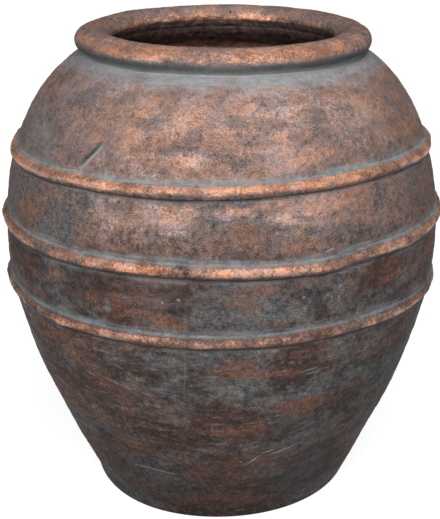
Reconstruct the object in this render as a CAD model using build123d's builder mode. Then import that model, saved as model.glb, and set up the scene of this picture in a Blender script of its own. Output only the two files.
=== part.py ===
"""Greek pithos: a wide coil-built storage jar with three applied cordons and a rolled rim.

Millimetres, +Z up. The origin is the centre of the underside, and the jar stands on the plane Z = 0.
The wall is raised in courses on a floor slab. Each course carries a half-round bead on its lower edge,
which beds into a finger groove along the top edge of the course below it. The three joints round the belly
are each covered by a cordon, and a rolled rim is bedded on the neck in the same way.
"""

import os
from math import cos, radians, sin, sqrt, tan

from build123d import *

# Overall height, from the ground to the top of the rim
jar_height = 720.0

# Wall outline, measured on the outer face
foot_radius = 206.0
foot_flare = 21.0
foot_run = 62.0
belly_radius = 333.0
belly_above_cordon = 45.5
belly_fall = 150.0
belly_rise = 162.0
neck_radius = 212.0
neck_pitch = 32.7
neck_run = 74.5

# Wall and floor
wall = 24.0
floor_thickness = 30.0
heel_rounding = 6.0
drain_radius = 15.0
seam_coil_leg = 24.0
seam_coil_hollow = 4.0

# Wall courses: the ones below the lower cordon share its height evenly
lower_courses = ["foot_course", "lower_wall_course", "upper_wall_course"]
lower_belly_height = 100.0
upper_belly_height = 104.0
shoulder_height = 79.0
neck_course_height = 46.5

# Bead and groove of a course joint
joint_bead = 5.0

# Cordons
cordon_projection = 7.5
cordon_coil_radius = 11.5
cordon_toe_radius = 5.0
cordon_bed = 0.6

# Neck and rim
neck_land = 35.0
neck_softening = 2.5
rim_width = 52.0
rim_depth = 36.0
rim_lip = 9.5
rim_bed = 2.5

# Heights of the course joints, from the rim down
neck_height = jar_height - rim_depth + rim_bed
neck_joint = neck_height - neck_course_height
upper_cordon_joint = neck_joint - shoulder_height
middle_cordon_joint = upper_cordon_joint - upper_belly_height
lower_cordon_joint = middle_cordon_joint - lower_belly_height
lower_course_height = (lower_cordon_joint - floor_thickness) / len(lower_courses)
belly_height = lower_cordon_joint + belly_above_cordon

# Places on the neck and the rim
throat_radius = neck_radius - neck_land
rim_radius = throat_radius - rim_lip + rim_width / 2
rim_height = jar_height - rim_depth / 2
rim_seat = rim_radius + rim_width / 2 * sqrt(1 - (1 - 2 * rim_bed / rim_depth) ** 2)

# Directions at the two ends of the outline
flare = radians(foot_flare)
pitch = radians(neck_pitch)
foot_direction = Vector(sin(flare), cos(flare))
foot_normal = Vector(cos(flare), -sin(flare))
neck_direction = Vector(-cos(pitch), sin(pitch))
neck_normal = Vector(sin(pitch), cos(pitch))

# How often a line is halved to find a height on it
halvings = 40

os.makedirs("parts", exist_ok=True)


def wall_line(depth):
    """The two curves of the wall at a depth below its outer face, from foot to neck."""
    foot = Vector(foot_radius, 0) - foot_normal * depth
    belly = Vector(belly_radius - depth, belly_height)
    neck = Vector(neck_radius, neck_height) - neck_normal * depth
    with BuildLine() as line:
        Bezier(foot, foot + foot_direction * foot_run, belly - Vector(0, belly_fall), belly)
        Bezier(belly, belly + Vector(0, belly_rise), neck - neck_direction * neck_run, neck)
    return line.wire()


def point_at(line, height):
    """Where a wall line passes a height, found by halving the line."""
    low = 0.0
    high = 1.0
    for _ in range(halvings):
        middle = (low + high) / 2
        if (line @ middle).Y < height:
            low = middle
        else:
            high = middle
    return line @ low


outer_line = wall_line(0)
middle_line = wall_line(wall / 2)
inner_line = wall_line(wall)


# Section of the whole wall, with a straight throat inside the neck
inner_neck = inner_line @ 1
throat_foot = Vector(throat_radius, inner_neck.Y + (inner_neck.X - throat_radius) * tan(pitch))
with BuildSketch(Plane.XZ) as wall_section:
    with BuildLine():
        add(outer_line)
        Polyline(outer_line @ 1, (throat_radius, neck_height), throat_foot, inner_neck)
        add(inner_line)
        Line(inner_line @ 0, outer_line @ 0)
    make_face()

# Section of the whole jar filled to its axis
with BuildSketch(Plane.XZ) as filled_section:
    with BuildLine():
        add(outer_line)
        Polyline(outer_line @ 1, (0, neck_height), (0, 0), outer_line @ 0)
    make_face()


def keep_between(bottom, top):
    """Cut the current sketch to the band between two heights."""
    reach = 2 * belly_radius
    with Locations((reach / 2, (bottom + top) / 2)):
        Rectangle(reach, top - bottom, mode=Mode.INTERSECT)


def joint_round(height, mode):
    """The bead or groove of a course joint, in the middle of the wall."""
    with Locations(point_at(middle_line, height)):
        Circle(joint_bead, mode=mode)


def build_course(label, bottom, top):
    """One ring of wall, with a bead under it and a groove along its top."""
    with BuildPart() as course:
        with BuildSketch(Plane.XZ):
            add(wall_section.sketch_local)
            keep_between(bottom, top)
            joint_round(bottom, Mode.ADD)
            joint_round(top, Mode.SUBTRACT)
        revolve(axis=Axis.Z)
    course.part.label = label
    export_step(course.part, f"parts/{label}.step")


def build_cordon(label, height):
    """A coil pressed on to the outer face over a course joint, drawn out to soft toes above and below."""
    rise = cordon_projection + cordon_bed
    coil_centre = rise - cordon_coil_radius
    spacing = cordon_coil_radius + cordon_toe_radius
    half_height = sqrt(spacing**2 - (cordon_toe_radius - coil_centre) ** 2)
    to_toe = Vector(half_height, cordon_toe_radius - coil_centre) / spacing
    meeting = Vector(0, coil_centre) + to_toe * cordon_coil_radius
    below = point_at(outer_line, height - half_height)
    above = point_at(outer_line, height + half_height)
    up = (above - below).normalized()
    out = Vector(up.Y, -up.X)
    seat = (above + below) / 2 - out * cordon_bed
    buried = -wall / 4

    def place(along, outwards):
        """A point of the section, along the wall and out from the bed."""
        return seat + up * along + out * outwards

    with BuildPart() as cordon:
        with BuildSketch(Plane.XZ):
            with BuildLine():
                lower_toe = TangentArc(place(-half_height, 0), place(-meeting.X, meeting.Y), tangent=up)
                crest = ThreePointArc(lower_toe @ 1, place(0, rise), place(meeting.X, meeting.Y))
                TangentArc(crest @ 1, place(half_height, 0), tangent=crest % 1)
                Polyline(
                    place(half_height, 0),
                    place(half_height, buried),
                    place(-half_height, buried),
                    place(-half_height, 0),
                )
            make_face()
            add(wall_section.sketch_local, mode=Mode.SUBTRACT)
        revolve(axis=Axis.Z)
    cordon.part.label = label
    export_step(cordon.part, f"parts/{label}.step")


# Floor slab, grooved for the foot course, with a drain hole
with BuildPart() as floor_slab:
    with BuildSketch(Plane.XZ):
        add(filled_section.sketch_local)
        keep_between(0, floor_thickness)
        joint_round(floor_thickness, Mode.SUBTRACT)
    revolve(axis=Axis.Z)
    heel = floor_slab.edges().group_by(Axis.Z)[0].sort_by(SortBy.LENGTH)[-1]
    fillet(heel, heel_rounding)
    with Locations((0, 0, floor_thickness)):
        Hole(drain_radius)
floor_slab.part.label = "floor_slab"
export_step(floor_slab.part, "parts/floor_slab.step")

# Coil smeared into the inside corner of floor and wall
with BuildPart() as floor_seam_coil:
    with BuildSketch(Plane.XZ):
        corner = point_at(inner_line, floor_thickness)
        floor_end = Vector(corner.X - seam_coil_leg, floor_thickness)
        wall_end = point_at(inner_line, floor_thickness + seam_coil_leg)
        hollow = (wall_end - floor_end).normalized().rotate(Axis.Z, -90) * seam_coil_hollow
        with BuildLine():
            ThreePointArc(floor_end, (floor_end + wall_end) / 2 + hollow, wall_end)
            Polyline(
                wall_end,
                point_at(middle_line, wall_end.Y),
                point_at(middle_line, floor_thickness),
                floor_end,
            )
        make_face()
        add(wall_section.sketch_local, mode=Mode.SUBTRACT)
    revolve(axis=Axis.Z)
floor_seam_coil.part.label = "floor_seam_coil"
export_step(floor_seam_coil.part, "parts/floor_seam_coil.step")

# Wall courses below the neck
for count, name in enumerate(lower_courses):
    course_foot = floor_thickness + count * lower_course_height
    build_course(name, course_foot, course_foot + lower_course_height)
build_course("lower_belly_course", lower_cordon_joint, middle_cordon_joint)
build_course("upper_belly_course", middle_cordon_joint, upper_cordon_joint)
build_course("shoulder_course", upper_cordon_joint, neck_joint)

# Middle of the seat that the rim is bedded on
rim_joint = Vector(rim_radius, neck_height)

# Neck course, drawn in to the throat, with its land grooved for the rim
with BuildPart() as neck_course:
    with BuildSketch(Plane.XZ):
        add(wall_section.sketch_local)
        keep_between(neck_joint, neck_height)
        joint_round(neck_joint, Mode.ADD)
        with Locations(rim_joint):
            Circle(joint_bead, mode=Mode.SUBTRACT)
    revolve(axis=Axis.Z)
    ledge = neck_course.edges().group_by(Axis.Z)[-1].sort_by(SortBy.LENGTH)[-1]
    fillet(ledge, min(neck_softening, (neck_radius - rim_seat) / 2))
neck_course.part.label = "neck_course"
export_step(neck_course.part, "parts/neck_course.step")

# Rim: a thick roll pressed flat on the land, with a bead under it
with BuildPart() as rim_roll:
    with BuildSketch(Plane.XZ):
        with Locations((rim_radius, rim_height)):
            Ellipse(rim_width / 2, rim_depth / 2)
        keep_between(neck_height, jar_height)
        with Locations(rim_joint):
            Circle(joint_bead)
    revolve(axis=Axis.Z)
rim_roll.part.label = "rim_roll"
export_step(rim_roll.part, "parts/rim_roll.step")

# Cordons over the three joints round the belly
build_cordon("lower_cordon", lower_cordon_joint)
build_cordon("middle_cordon", middle_cordon_joint)
build_cordon("upper_cordon", upper_cordon_joint)
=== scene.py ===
"""Greek pithos: the dressed looks of a wide coil-built jar with three applied cordons and a rolled rim.

Metres, +Z up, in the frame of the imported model. Angles are degrees round the jar: 0 faces the front, and
they grow towards +X. Each ring of clay is turned from its section. One hand unevenness moves every ring,
so that the joints stay closed. Each ring is marked with the copper, wash and shade that its finish reads.
"""

import logging
from dataclasses import dataclass, field
from enum import Enum
from functools import reduce
from math import cos, pi, radians, sin, sqrt, tan
from typing import Any

import bmesh
import bpy
import numpy as np
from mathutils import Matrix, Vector
from mathutils.geometry import interpolate_bezier


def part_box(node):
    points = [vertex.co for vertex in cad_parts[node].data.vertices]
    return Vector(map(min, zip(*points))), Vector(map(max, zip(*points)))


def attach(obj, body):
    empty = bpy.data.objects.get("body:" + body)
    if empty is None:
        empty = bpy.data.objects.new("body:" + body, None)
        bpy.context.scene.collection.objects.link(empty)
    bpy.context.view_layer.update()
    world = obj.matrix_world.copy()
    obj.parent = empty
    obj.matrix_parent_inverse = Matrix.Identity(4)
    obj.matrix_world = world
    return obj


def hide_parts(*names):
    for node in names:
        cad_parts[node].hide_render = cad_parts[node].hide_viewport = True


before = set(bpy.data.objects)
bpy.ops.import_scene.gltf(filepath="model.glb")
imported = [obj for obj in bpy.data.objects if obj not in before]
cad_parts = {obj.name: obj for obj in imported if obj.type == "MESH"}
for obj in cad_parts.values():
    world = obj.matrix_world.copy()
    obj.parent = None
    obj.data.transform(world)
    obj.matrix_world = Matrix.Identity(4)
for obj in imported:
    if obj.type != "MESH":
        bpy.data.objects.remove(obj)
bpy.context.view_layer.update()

BODY = "root"
log = logging.getLogger("pithos")

Point = tuple[float, float]
Triple = tuple[float, float, float]
Colour = tuple[float, float, float, float]
Socket = bpy.types.NodeSocket

# Power that gives a small hole its round bottom
HOLE_CURVE = 1.5


class Slot(Enum):
    """The record's material slots."""

    WALL = "wall_patina"
    CORDON = "cordon_patina"
    RIM = "rim_patina"
    FOOT = "foot_clay"
    INNER = "inner_clay"


class Mark(Enum):
    """What the surface carries for its finish, from 0 to 1 at each point."""

    COPPER = "copper"
    # Rubbed copper, laid partly as painted highlight where light falls on the coils and the rim
    RUB_AND_HIGHLIGHT = "rub_and_highlight"
    RUSSET = "russet"
    WASH = "wash"
    CHALK = "chalk"
    # Painted shade: darkening in creases, under the coils and the roll, in pits, nicks, gouges and pinholes,
    # and in darker patches
    SHADE = "shade"
    INSIDE = "inside"


def soft_step(value: np.ndarray, low: float, high: float) -> np.ndarray:
    """Rises softly from 0 at low to 1 at high, or falls where low is above high.

    Args:
        value: What is measured.
        low: Where the step starts.
        high: Where the step ends.

    Returns:
        The share of the step, from 0 to 1.
    """
    share = np.clip((value - low) / (high - low), 0.0, 1.0)
    return share * share * (3.0 - 2.0 * share)


def angles_of(points: np.ndarray) -> np.ndarray:
    """Angles round the jar, in degrees from the front."""
    return np.degrees(np.arctan2(points[:, 0], -points[:, 1]))


def turn_gap(angles: np.ndarray, centre: float) -> np.ndarray:
    """Degrees from a centre angle, the short way round."""
    return (angles - centre + 180.0) % 360.0 - 180.0


def radius_of(points: np.ndarray) -> np.ndarray:
    """Distance of each point from the jar's axis."""
    return np.hypot(points[:, 0], points[:, 1])


def place_at(radius: float, angle: float, height: float) -> np.ndarray:
    """The place at a radius, an angle in degrees and a height."""
    return np.array([radius * sin(radians(angle)), -radius * cos(radians(angle)), height])


def moved_to(points: np.ndarray, radius: np.ndarray | float, height: np.ndarray | float) -> np.ndarray:
    """Places at the angles of the points, at another radius and height."""
    share = radius / radius_of(points)
    return np.stack([points[:, 0] * share, points[:, 1] * share, np.broadcast_to(height, len(points))], axis=1)


def bell(value: np.ndarray, width: float) -> np.ndarray:
    """A soft hill that is 1 at a value of 0 and falls off over a width."""
    return np.exp(-((value / width) ** 2))


def bowl(gap: np.ndarray) -> np.ndarray:
    """Depth of a round hollow: 1 in its middle, and 0 from a gap of 1 on."""
    return np.clip(1.0 - gap**2, 0.0, 1.0)


def raised(share: np.ndarray, least: float) -> np.ndarray:
    """A share of 0 to 1, squeezed into what lies between a least share and 1."""
    return least + (1.0 - least) * share


def near_path(points: np.ndarray, path: np.ndarray, reach: float) -> np.ndarray:
    """Which points lie in a ball round a path that goes as far past its ends as the reach."""
    middle = path.mean(axis=0)
    span = np.linalg.norm(path - middle, axis=1).max()
    return np.linalg.norm(points - middle, axis=1) < span + reach


def placed(name: str, data: bpy.types.ID) -> bpy.types.Object:
    """A new object, put in the scene."""
    item = bpy.data.objects.new(name, data)
    bpy.context.scene.collection.objects.link(item)
    return item


def run_along(line: np.ndarray) -> np.ndarray:
    """Length along a line up to each of its points."""
    steps = np.linalg.norm(np.diff(line, axis=0), axis=1)
    return np.concatenate([[0.0], np.cumsum(steps)])


def top_of(node: str) -> float:
    """Height of the top of a CAD node."""
    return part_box(node)[1].z


@dataclass
class WallOutline:
    """The wall's outer line from foot to neck, and the same line at a depth below it."""

    foot_radius: float = 0.206
    foot_flare: float = 21.0
    foot_run: float = 0.062
    belly_radius: float = 0.333
    belly_above_cordon: float = 0.0455
    belly_fall: float = 0.150
    belly_rise: float = 0.162
    neck_radius: float = 0.212
    neck_pitch: float = 32.7
    neck_run: float = 0.0745
    neck_land: float = 0.035
    rim_width: float = 0.052
    rim_lip: float = 0.0095
    wall: float = 0.024
    samples: int = 160
    throat_steps: int = 12
    throat_pull: float = 0.7
    lines: dict[float, np.ndarray] = field(default_factory=dict)

    @property
    def neck_height(self) -> float:
        """Height of the land that the rim is bedded on."""
        return top_of("neck_course")

    @property
    def throat_radius(self) -> float:
        """Radius of the straight throat."""
        return self.neck_radius - self.neck_land

    @property
    def rim_radius(self) -> float:
        """Radius of the middle of the rolled rim."""
        return self.throat_radius - self.rim_lip + self.rim_width / 2

    def line(self, depth: float = 0.0) -> np.ndarray:
        """Points of the wall line at a depth.

        Args:
            depth: How far the line lies below the outer face.

        Returns:
            Rows of radius and height, from foot to neck.
        """
        if depth not in self.lines:
            self.lines[depth] = self.drawn_line(depth)
        return self.lines[depth]

    def drawn_line(self, depth: float) -> np.ndarray:
        """Draws the two curves of a wall line, and rounds the inner one into the throat.

        Args:
            depth: How far the line lies below the outer face.

        Returns:
            Rows of radius and height, from foot to neck.
        """
        flare = radians(self.foot_flare)
        pitch = radians(self.neck_pitch)
        foot = Vector((self.foot_radius, 0.0)) - Vector((cos(flare), -sin(flare))) * depth
        foot_pull = foot + Vector((sin(flare), cos(flare))) * self.foot_run
        belly = Vector((self.belly_radius - depth, top_of("upper_wall_course") + self.belly_above_cordon))
        neck = Vector((self.neck_radius, self.neck_height)) - Vector((sin(pitch), cos(pitch))) * depth
        neck_pull = neck - Vector((-cos(pitch), sin(pitch))) * self.neck_run
        below = belly - Vector((0.0, self.belly_fall))
        above = belly + Vector((0.0, self.belly_rise))
        points = interpolate_bezier(foot, foot_pull, below, belly, self.samples)
        points += interpolate_bezier(belly, above, neck_pull, neck, self.samples)[1:]
        if depth >= self.wall:
            throat_foot = neck.y + (neck.x - self.throat_radius) * tan(pitch)
            corner = Vector((self.throat_radius, throat_foot))
            throat = Vector((self.throat_radius, self.neck_height))
            start_pull = neck.lerp(corner, self.throat_pull)
            end_pull = throat.lerp(corner, self.throat_pull)
            points += interpolate_bezier(neck, start_pull, end_pull, throat, self.throat_steps)[1:]
        return np.array([point[:2] for point in points])

    def radius(self, height: np.ndarray | float, depth: float = 0.0) -> np.ndarray:
        """Radius of the wall line at a height."""
        line = self.line(depth)
        return np.interp(height, line[:, 1], line[:, 0])

    def run(self) -> np.ndarray:
        """Length along the outer line up to each of its points."""
        return run_along(self.line())

    def run_at(self, height: np.ndarray | float) -> np.ndarray:
        """Length along the outer line up to a height."""
        return np.interp(height, self.line()[:, 1], self.run())

    def height_at(self, run: np.ndarray) -> np.ndarray:
        """Height that a length along the outer line reaches."""
        return np.interp(run, self.run(), self.line()[:, 1])

    def normal(self, height: np.ndarray) -> tuple[np.ndarray, np.ndarray]:
        """Outward direction of the outer face at a height.

        Args:
            height: Heights on the wall.

        Returns:
            The radial and the upward share of the direction.
        """
        line = self.line()
        along = np.gradient(line, axis=0)
        along /= np.linalg.norm(along, axis=1, keepdims=True)
        outwards = np.interp(height, line[:, 1], along[:, 1])
        upwards = np.interp(height, line[:, 1], -along[:, 0])
        return outwards, upwards

    def rows(self, bottom: float, top: float, depth: float, spacing: float) -> list[Point]:
        """Evenly spaced points of a wall line between two heights.

        Args:
            bottom: Lowest height.
            top: Highest height.
            depth: How far the line lies below the outer face.
            spacing: About how far apart the points are.

        Returns:
            Pairs of radius and height, from bottom to top.
        """
        fine = np.linspace(bottom, top, self.samples)
        line = np.stack([self.radius(fine, depth), fine], axis=1)
        run = run_along(line)
        count = max(2, round(run[-1] / spacing))
        heights = np.interp(np.linspace(0.0, run[-1], count + 1), run, fine)
        return [(float(self.radius(height, depth)), float(height)) for height in heights]

    def spot(self, angle: float, height: float) -> np.ndarray:
        """The place on the outer face at an angle and a height."""
        return place_at(float(self.radius(height)), angle, height)


@dataclass(frozen=True)
class Waves:
    """Soft unevenness: a sum of waves of about one length that run in all directions."""

    length: float
    height: float
    seed: int
    flatten: float = 1.0
    count: int = 28
    length_spread: Point = (0.7, 1.5)

    def at(self, points: np.ndarray) -> np.ndarray:
        """Height of the unevenness at each point."""
        draw = np.random.default_rng(self.seed)
        ways = draw.normal(size=(self.count, 3))
        ways /= np.linalg.norm(ways, axis=1, keepdims=True)
        ways *= 2.0 * pi / (self.length * draw.uniform(*self.length_spread, (self.count, 1)))
        ways[:, 2] *= self.flatten
        starts = draw.uniform(0.0, 2.0 * pi, self.count)
        total = np.zeros(len(points))
        for way, start in zip(ways, starts):
            total += np.cos(points @ way + start)
        return total * self.height * sqrt(2.0 / self.count)


@dataclass(frozen=True)
class Pit:
    """A small hole left by a bubble, a grain or a knock: painted dark as shade in the hole, or chalky where
    wash lies in it.
    """

    angle: float
    height: float
    radius: float
    depth: float
    wash: float = 0.0
    shade: float = 0.9
    wash_gain: float = 1.6

    def path(self, outline: WallOutline) -> np.ndarray:
        """The middle of the pit."""
        return outline.spot(self.angle, self.height)[None, :]

    def reach(self) -> float:
        """How far from its middle the clay is moved."""
        return self.radius

    def filled(self, points: np.ndarray, outline: WallOutline) -> np.ndarray:
        """How deep in the pit each point lies, from 0 to 1."""
        return bowl(np.linalg.norm(points - self.path(outline)[0], axis=1) / self.radius)

    def press(self, points: np.ndarray, outline: WallOutline) -> np.ndarray:
        """How far the clay is pressed in at each point."""
        return -self.depth * self.filled(points, outline) ** HOLE_CURVE

    def washed(self, points: np.ndarray, outline: WallOutline) -> np.ndarray:
        """How much wash lies in the pit at each point."""
        return self.wash * np.minimum(1.0, self.wash_gain * self.filled(points, outline))

    def shaded(self, points: np.ndarray, outline: WallOutline) -> np.ndarray:
        """How much painted shade darkens the pit at each point."""
        # Painted shade in the hole
        return self.shade * self.filled(points, outline)


@dataclass(frozen=True)
class Stroke:
    """A gouge or a scratch along a line, deepest towards one side, with wash in it and painted shade on its
    steeper side.
    """

    places: tuple[Point, ...]
    width: float
    depth: float
    lean: float = 0.0
    wash: float = 0.0
    shade: float = 0.0
    steps: int = 12
    end_curve: float = 0.6
    wash_edge: float = 0.2
    wash_end: float = 0.6
    shade_width: float = 0.45
    reach_widths: float = 2.0

    def path(self, outline: WallOutline) -> np.ndarray:
        """Points along the middle of the stroke, close together."""
        places = np.array(self.places)
        share = np.linspace(0.0, len(places) - 1.0, self.steps * len(places))
        angles = np.interp(share, np.arange(len(places)), places[:, 0])
        heights = np.interp(share, np.arange(len(places)), places[:, 1])
        return np.array([outline.spot(angle, height) for angle, height in zip(angles, heights)])

    def reach(self) -> float:
        """How far from its middle the clay is moved."""
        return self.reach_widths * self.width

    def across(self, points: np.ndarray, outline: WallOutline) -> tuple[np.ndarray, np.ndarray]:
        """Where each point lies in the stroke.

        Args:
            points: Places on the outer face.
            outline: The wall that carries the stroke.

        Returns:
            The share of the half width across, with its side, and the share along.
        """
        path = self.path(outline)
        nearest = np.full(len(points), np.inf)
        across = np.full(len(points), np.inf)
        along = np.zeros(len(points))
        for count, (start, end) in enumerate(zip(path[:-1], path[1:])):
            way = end - start
            share = np.clip((points - start) @ way / (way @ way), 0.0, 1.0)
            offset = points - (start + share[:, None] * way)
            gap = np.linalg.norm(offset, axis=1)
            closer = gap < nearest
            side = np.sign(offset @ np.cross(way, start * (1.0, 1.0, 0.0)))
            nearest = np.where(closer, gap, nearest)
            across = np.where(closer, side * gap / self.width, across)
            along = np.where(closer, (count + share) / (len(path) - 1), along)
        return across, along

    def taper(self, along: np.ndarray) -> np.ndarray:
        """How the stroke runs out towards its two ends."""
        return np.clip(4.0 * along * (1.0 - along), 0.0, 1.0) ** self.end_curve

    def filled(self, points: np.ndarray, outline: WallOutline) -> np.ndarray:
        """How deep in the stroke each point lies, from 0 to 1."""
        across, along = self.across(points, outline)
        falling = (1.0 - across) / (1.0 - self.lean)
        rising = (across + 1.0) / (self.lean + 1.0)
        return np.clip(np.minimum(falling, rising), 0.0, 1.0) * self.taper(along)

    def press(self, points: np.ndarray, outline: WallOutline) -> np.ndarray:
        """How far the clay is pressed in at each point."""
        return -self.depth * self.filled(points, outline)

    def washed(self, points: np.ndarray, outline: WallOutline) -> np.ndarray:
        """How much wash lies on the flatter side of the stroke at each point."""
        across, along = self.across(points, outline)
        flat = soft_step(across, self.lean - self.wash_edge, self.lean + self.wash_edge)
        flat *= soft_step(across, 1.0, self.wash_end)
        return self.wash * flat * self.taper(along)

    def shaded(self, points: np.ndarray, outline: WallOutline) -> np.ndarray:
        """How much painted shade darkens the steeper side of the stroke at each point."""
        across, along = self.across(points, outline)
        # Painted shade along the steeper side
        return self.shade * bell(across - self.lean, self.shade_width) * self.taper(along)


@dataclass(frozen=True)
class Patch:
    """A place where the maker's cloth left more copper, russet or wash on the wall, or less, or where the wall
    is painted darker.
    """

    angle: float
    height: float
    width: float
    rise: float
    copper: float = 0.0
    russet: float = 0.0
    wash: float = 0.0
    shade: float = 0.0

    def share(self, points: np.ndarray, outline: WallOutline) -> np.ndarray:
        """How much of the patch reaches each point."""
        radius = float(outline.radius(self.height))
        across = np.radians(turn_gap(angles_of(points), self.angle)) * radius / self.width
        up = (points[:, 2] - self.height) / self.rise
        return np.exp(-(across**2) - up**2)


@dataclass(frozen=True)
class Bend:
    """A place round the jar where clay was pressed out of its line, swollen, thinned or nicked."""

    angle: float
    spread: float
    shift: float = 0.0
    swell: float = 0.0

    def share(self, angles: np.ndarray) -> np.ndarray:
        """How much of the bend reaches each angle."""
        return bell(turn_gap(angles, self.angle), self.spread)


def swollen(bends: tuple[Bend, ...], angles: np.ndarray) -> np.ndarray | float:
    """What the swells of some bends add up to at each angle."""
    return sum(bend.swell * bend.share(angles) for bend in bends)


@dataclass
class Handwork:
    """The hand unevenness of the whole jar, shared by all of its rings."""

    outline: WallOutline
    marks: tuple[Pit | Stroke, ...]
    ovals: Waves = Waves(length=0.9, height=0.0005, seed=11)
    swells: Waves = Waves(length=0.12, height=0.00045, seed=5)
    drags: Waves = Waves(length=0.045, height=0.0002, seed=8, flatten=3.0)
    grit: Waves = Waves(length=0.009, height=0.00012, seed=21)
    finger_ridges: Waves = Waves(length=0.11, height=0.0004, seed=31, flatten=8.0)
    torn_clay: Waves = Waves(length=0.02, height=0.0008, seed=41, flatten=2.0)
    foot_bulge: Bend = Bend(-35.0, 32.0, swell=0.0060)
    foot_reach: float = 0.024
    heel_fade: float = 0.02
    floor_fade: Point = (0.05, 0.1)
    neck_fade: float = 0.012
    lean: tuple[Point, ...] = ((0.54, 0.0), (0.61, 0.0018), (0.68, 0.0024), (0.72, 0.0040))

    def outer(self, spots: np.ndarray) -> np.ndarray:
        """How far the outer face stands proud at its places."""
        proud = self.swells.at(spots) + self.drags.at(spots) + self.grit.at(spots)
        for mark in self.marks:
            near = near_path(spots, mark.path(self.outline), mark.reach())
            proud[near] += mark.press(spots[near], self.outline)
        return proud * soft_step(spots[:, 2], 0.0, self.heel_fade)

    def inner(self, spots: np.ndarray) -> np.ndarray:
        """How far the inner face is moved at its places, none near the floor."""
        moved = self.finger_ridges.at(spots) + self.torn_clay.at(spots)
        moved *= soft_step(spots[:, 2], self.outline.neck_height, self.outline.neck_height - self.neck_fade)
        return moved * soft_step(spots[:, 2], *self.floor_fade)

    def spots_under(self, points: np.ndarray) -> np.ndarray:
        """The places on the even outer face at the angle and height of each point."""
        return moved_to(points, self.outline.radius(points[:, 2]), points[:, 2])

    def pushed(self, points: np.ndarray, heights: np.ndarray, distance: np.ndarray) -> np.ndarray:
        """Moves points along the wall's outward direction.

        Args:
            points: Places to move.
            heights: Heights on the wall that give the direction.
            distance: How far each point moves.

        Returns:
            The moved places.
        """
        outwards, upwards = self.outline.normal(heights)
        radius = radius_of(points)
        moved = points.copy()
        moved[:, :2] *= (1.0 + outwards * distance / radius)[:, None]
        moved[:, 2] += upwards * distance
        return moved

    def rounded(self, points: np.ndarray, spots: np.ndarray) -> np.ndarray:
        """Puts the jar a little out of round, its foot more so, and its neck a little to one side."""
        moved = points.copy()
        foot = self.foot_bulge.share(angles_of(points)) * soft_step(points[:, 2], self.foot_reach, 0.0)
        foot *= radius_of(points) / self.outline.foot_radius
        spread = self.ovals.at(spots) / self.outline.belly_radius
        spread += self.foot_bulge.swell * foot / self.outline.foot_radius
        moved[:, :2] *= (1.0 + spread)[:, None]
        heights, shifts = zip(*self.lean)
        moved[:, 0] += np.interp(spots[:, 2], heights, shifts)
        return moved

    def moved(self, points: np.ndarray) -> np.ndarray:
        """Moves clay anywhere in the wall, so that rings that meet still meet.

        Args:
            points: Places in the even jar.

        Returns:
            The places in the jar as made by hand.
        """
        spots = self.spots_under(points)
        outer_radius = self.outline.radius(points[:, 2])
        inner_radius = self.outline.radius(points[:, 2], self.outline.wall)
        radius = radius_of(points)
        share = np.clip((outer_radius - radius) / (outer_radius - inner_radius), 0.0, 1.0)
        distance = (1.0 - share) * self.outer(spots) + share * self.inner(spots)
        return self.rounded(self.pushed(points, points[:, 2], distance), spots)


@dataclass(frozen=True)
class CordonLine:
    """The line on the wall that a cordon follows, climbing to one side and wandering a little."""

    height: float
    climb: float
    wander: Waves
    swelling: Waves
    bends: tuple[Bend, ...] = ()
    upper_edge: float = 0.0125
    lower_edge: float = 0.0120

    def centre(self, points: np.ndarray, outline: WallOutline) -> np.ndarray:
        """Height of the line at the angle of each point.

        Args:
            points: Places round the jar.
            outline: The wall that carries the line.

        Returns:
            Heights of the line.
        """
        spots = self.level_spots(points, outline)
        angles = angles_of(points)
        shift = sum(bend.shift * bend.share(angles) for bend in self.bends)
        return self.height + tan(radians(self.climb)) * spots[:, 0] + self.wander.at(spots) + shift

    def thickness(self, points: np.ndarray, outline: WallOutline) -> np.ndarray:
        """How thick the coil is at the angle of each point, where 1 is its even thickness."""
        swelling = self.swelling.at(self.level_spots(points, outline))
        return 1.0 + swelling + swollen(self.bends, angles_of(points))

    def level_spots(self, points: np.ndarray, outline: WallOutline) -> np.ndarray:
        """The places on the wall at the angles of the points, all at the line's own height."""
        return moved_to(points, float(outline.radius(self.height)), self.height)

    def above(self, points: np.ndarray, outline: WallOutline) -> np.ndarray:
        """How far along the wall each point lies above the line."""
        return outline.run_at(points[:, 2]) - outline.run_at(self.centre(points, outline))


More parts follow.
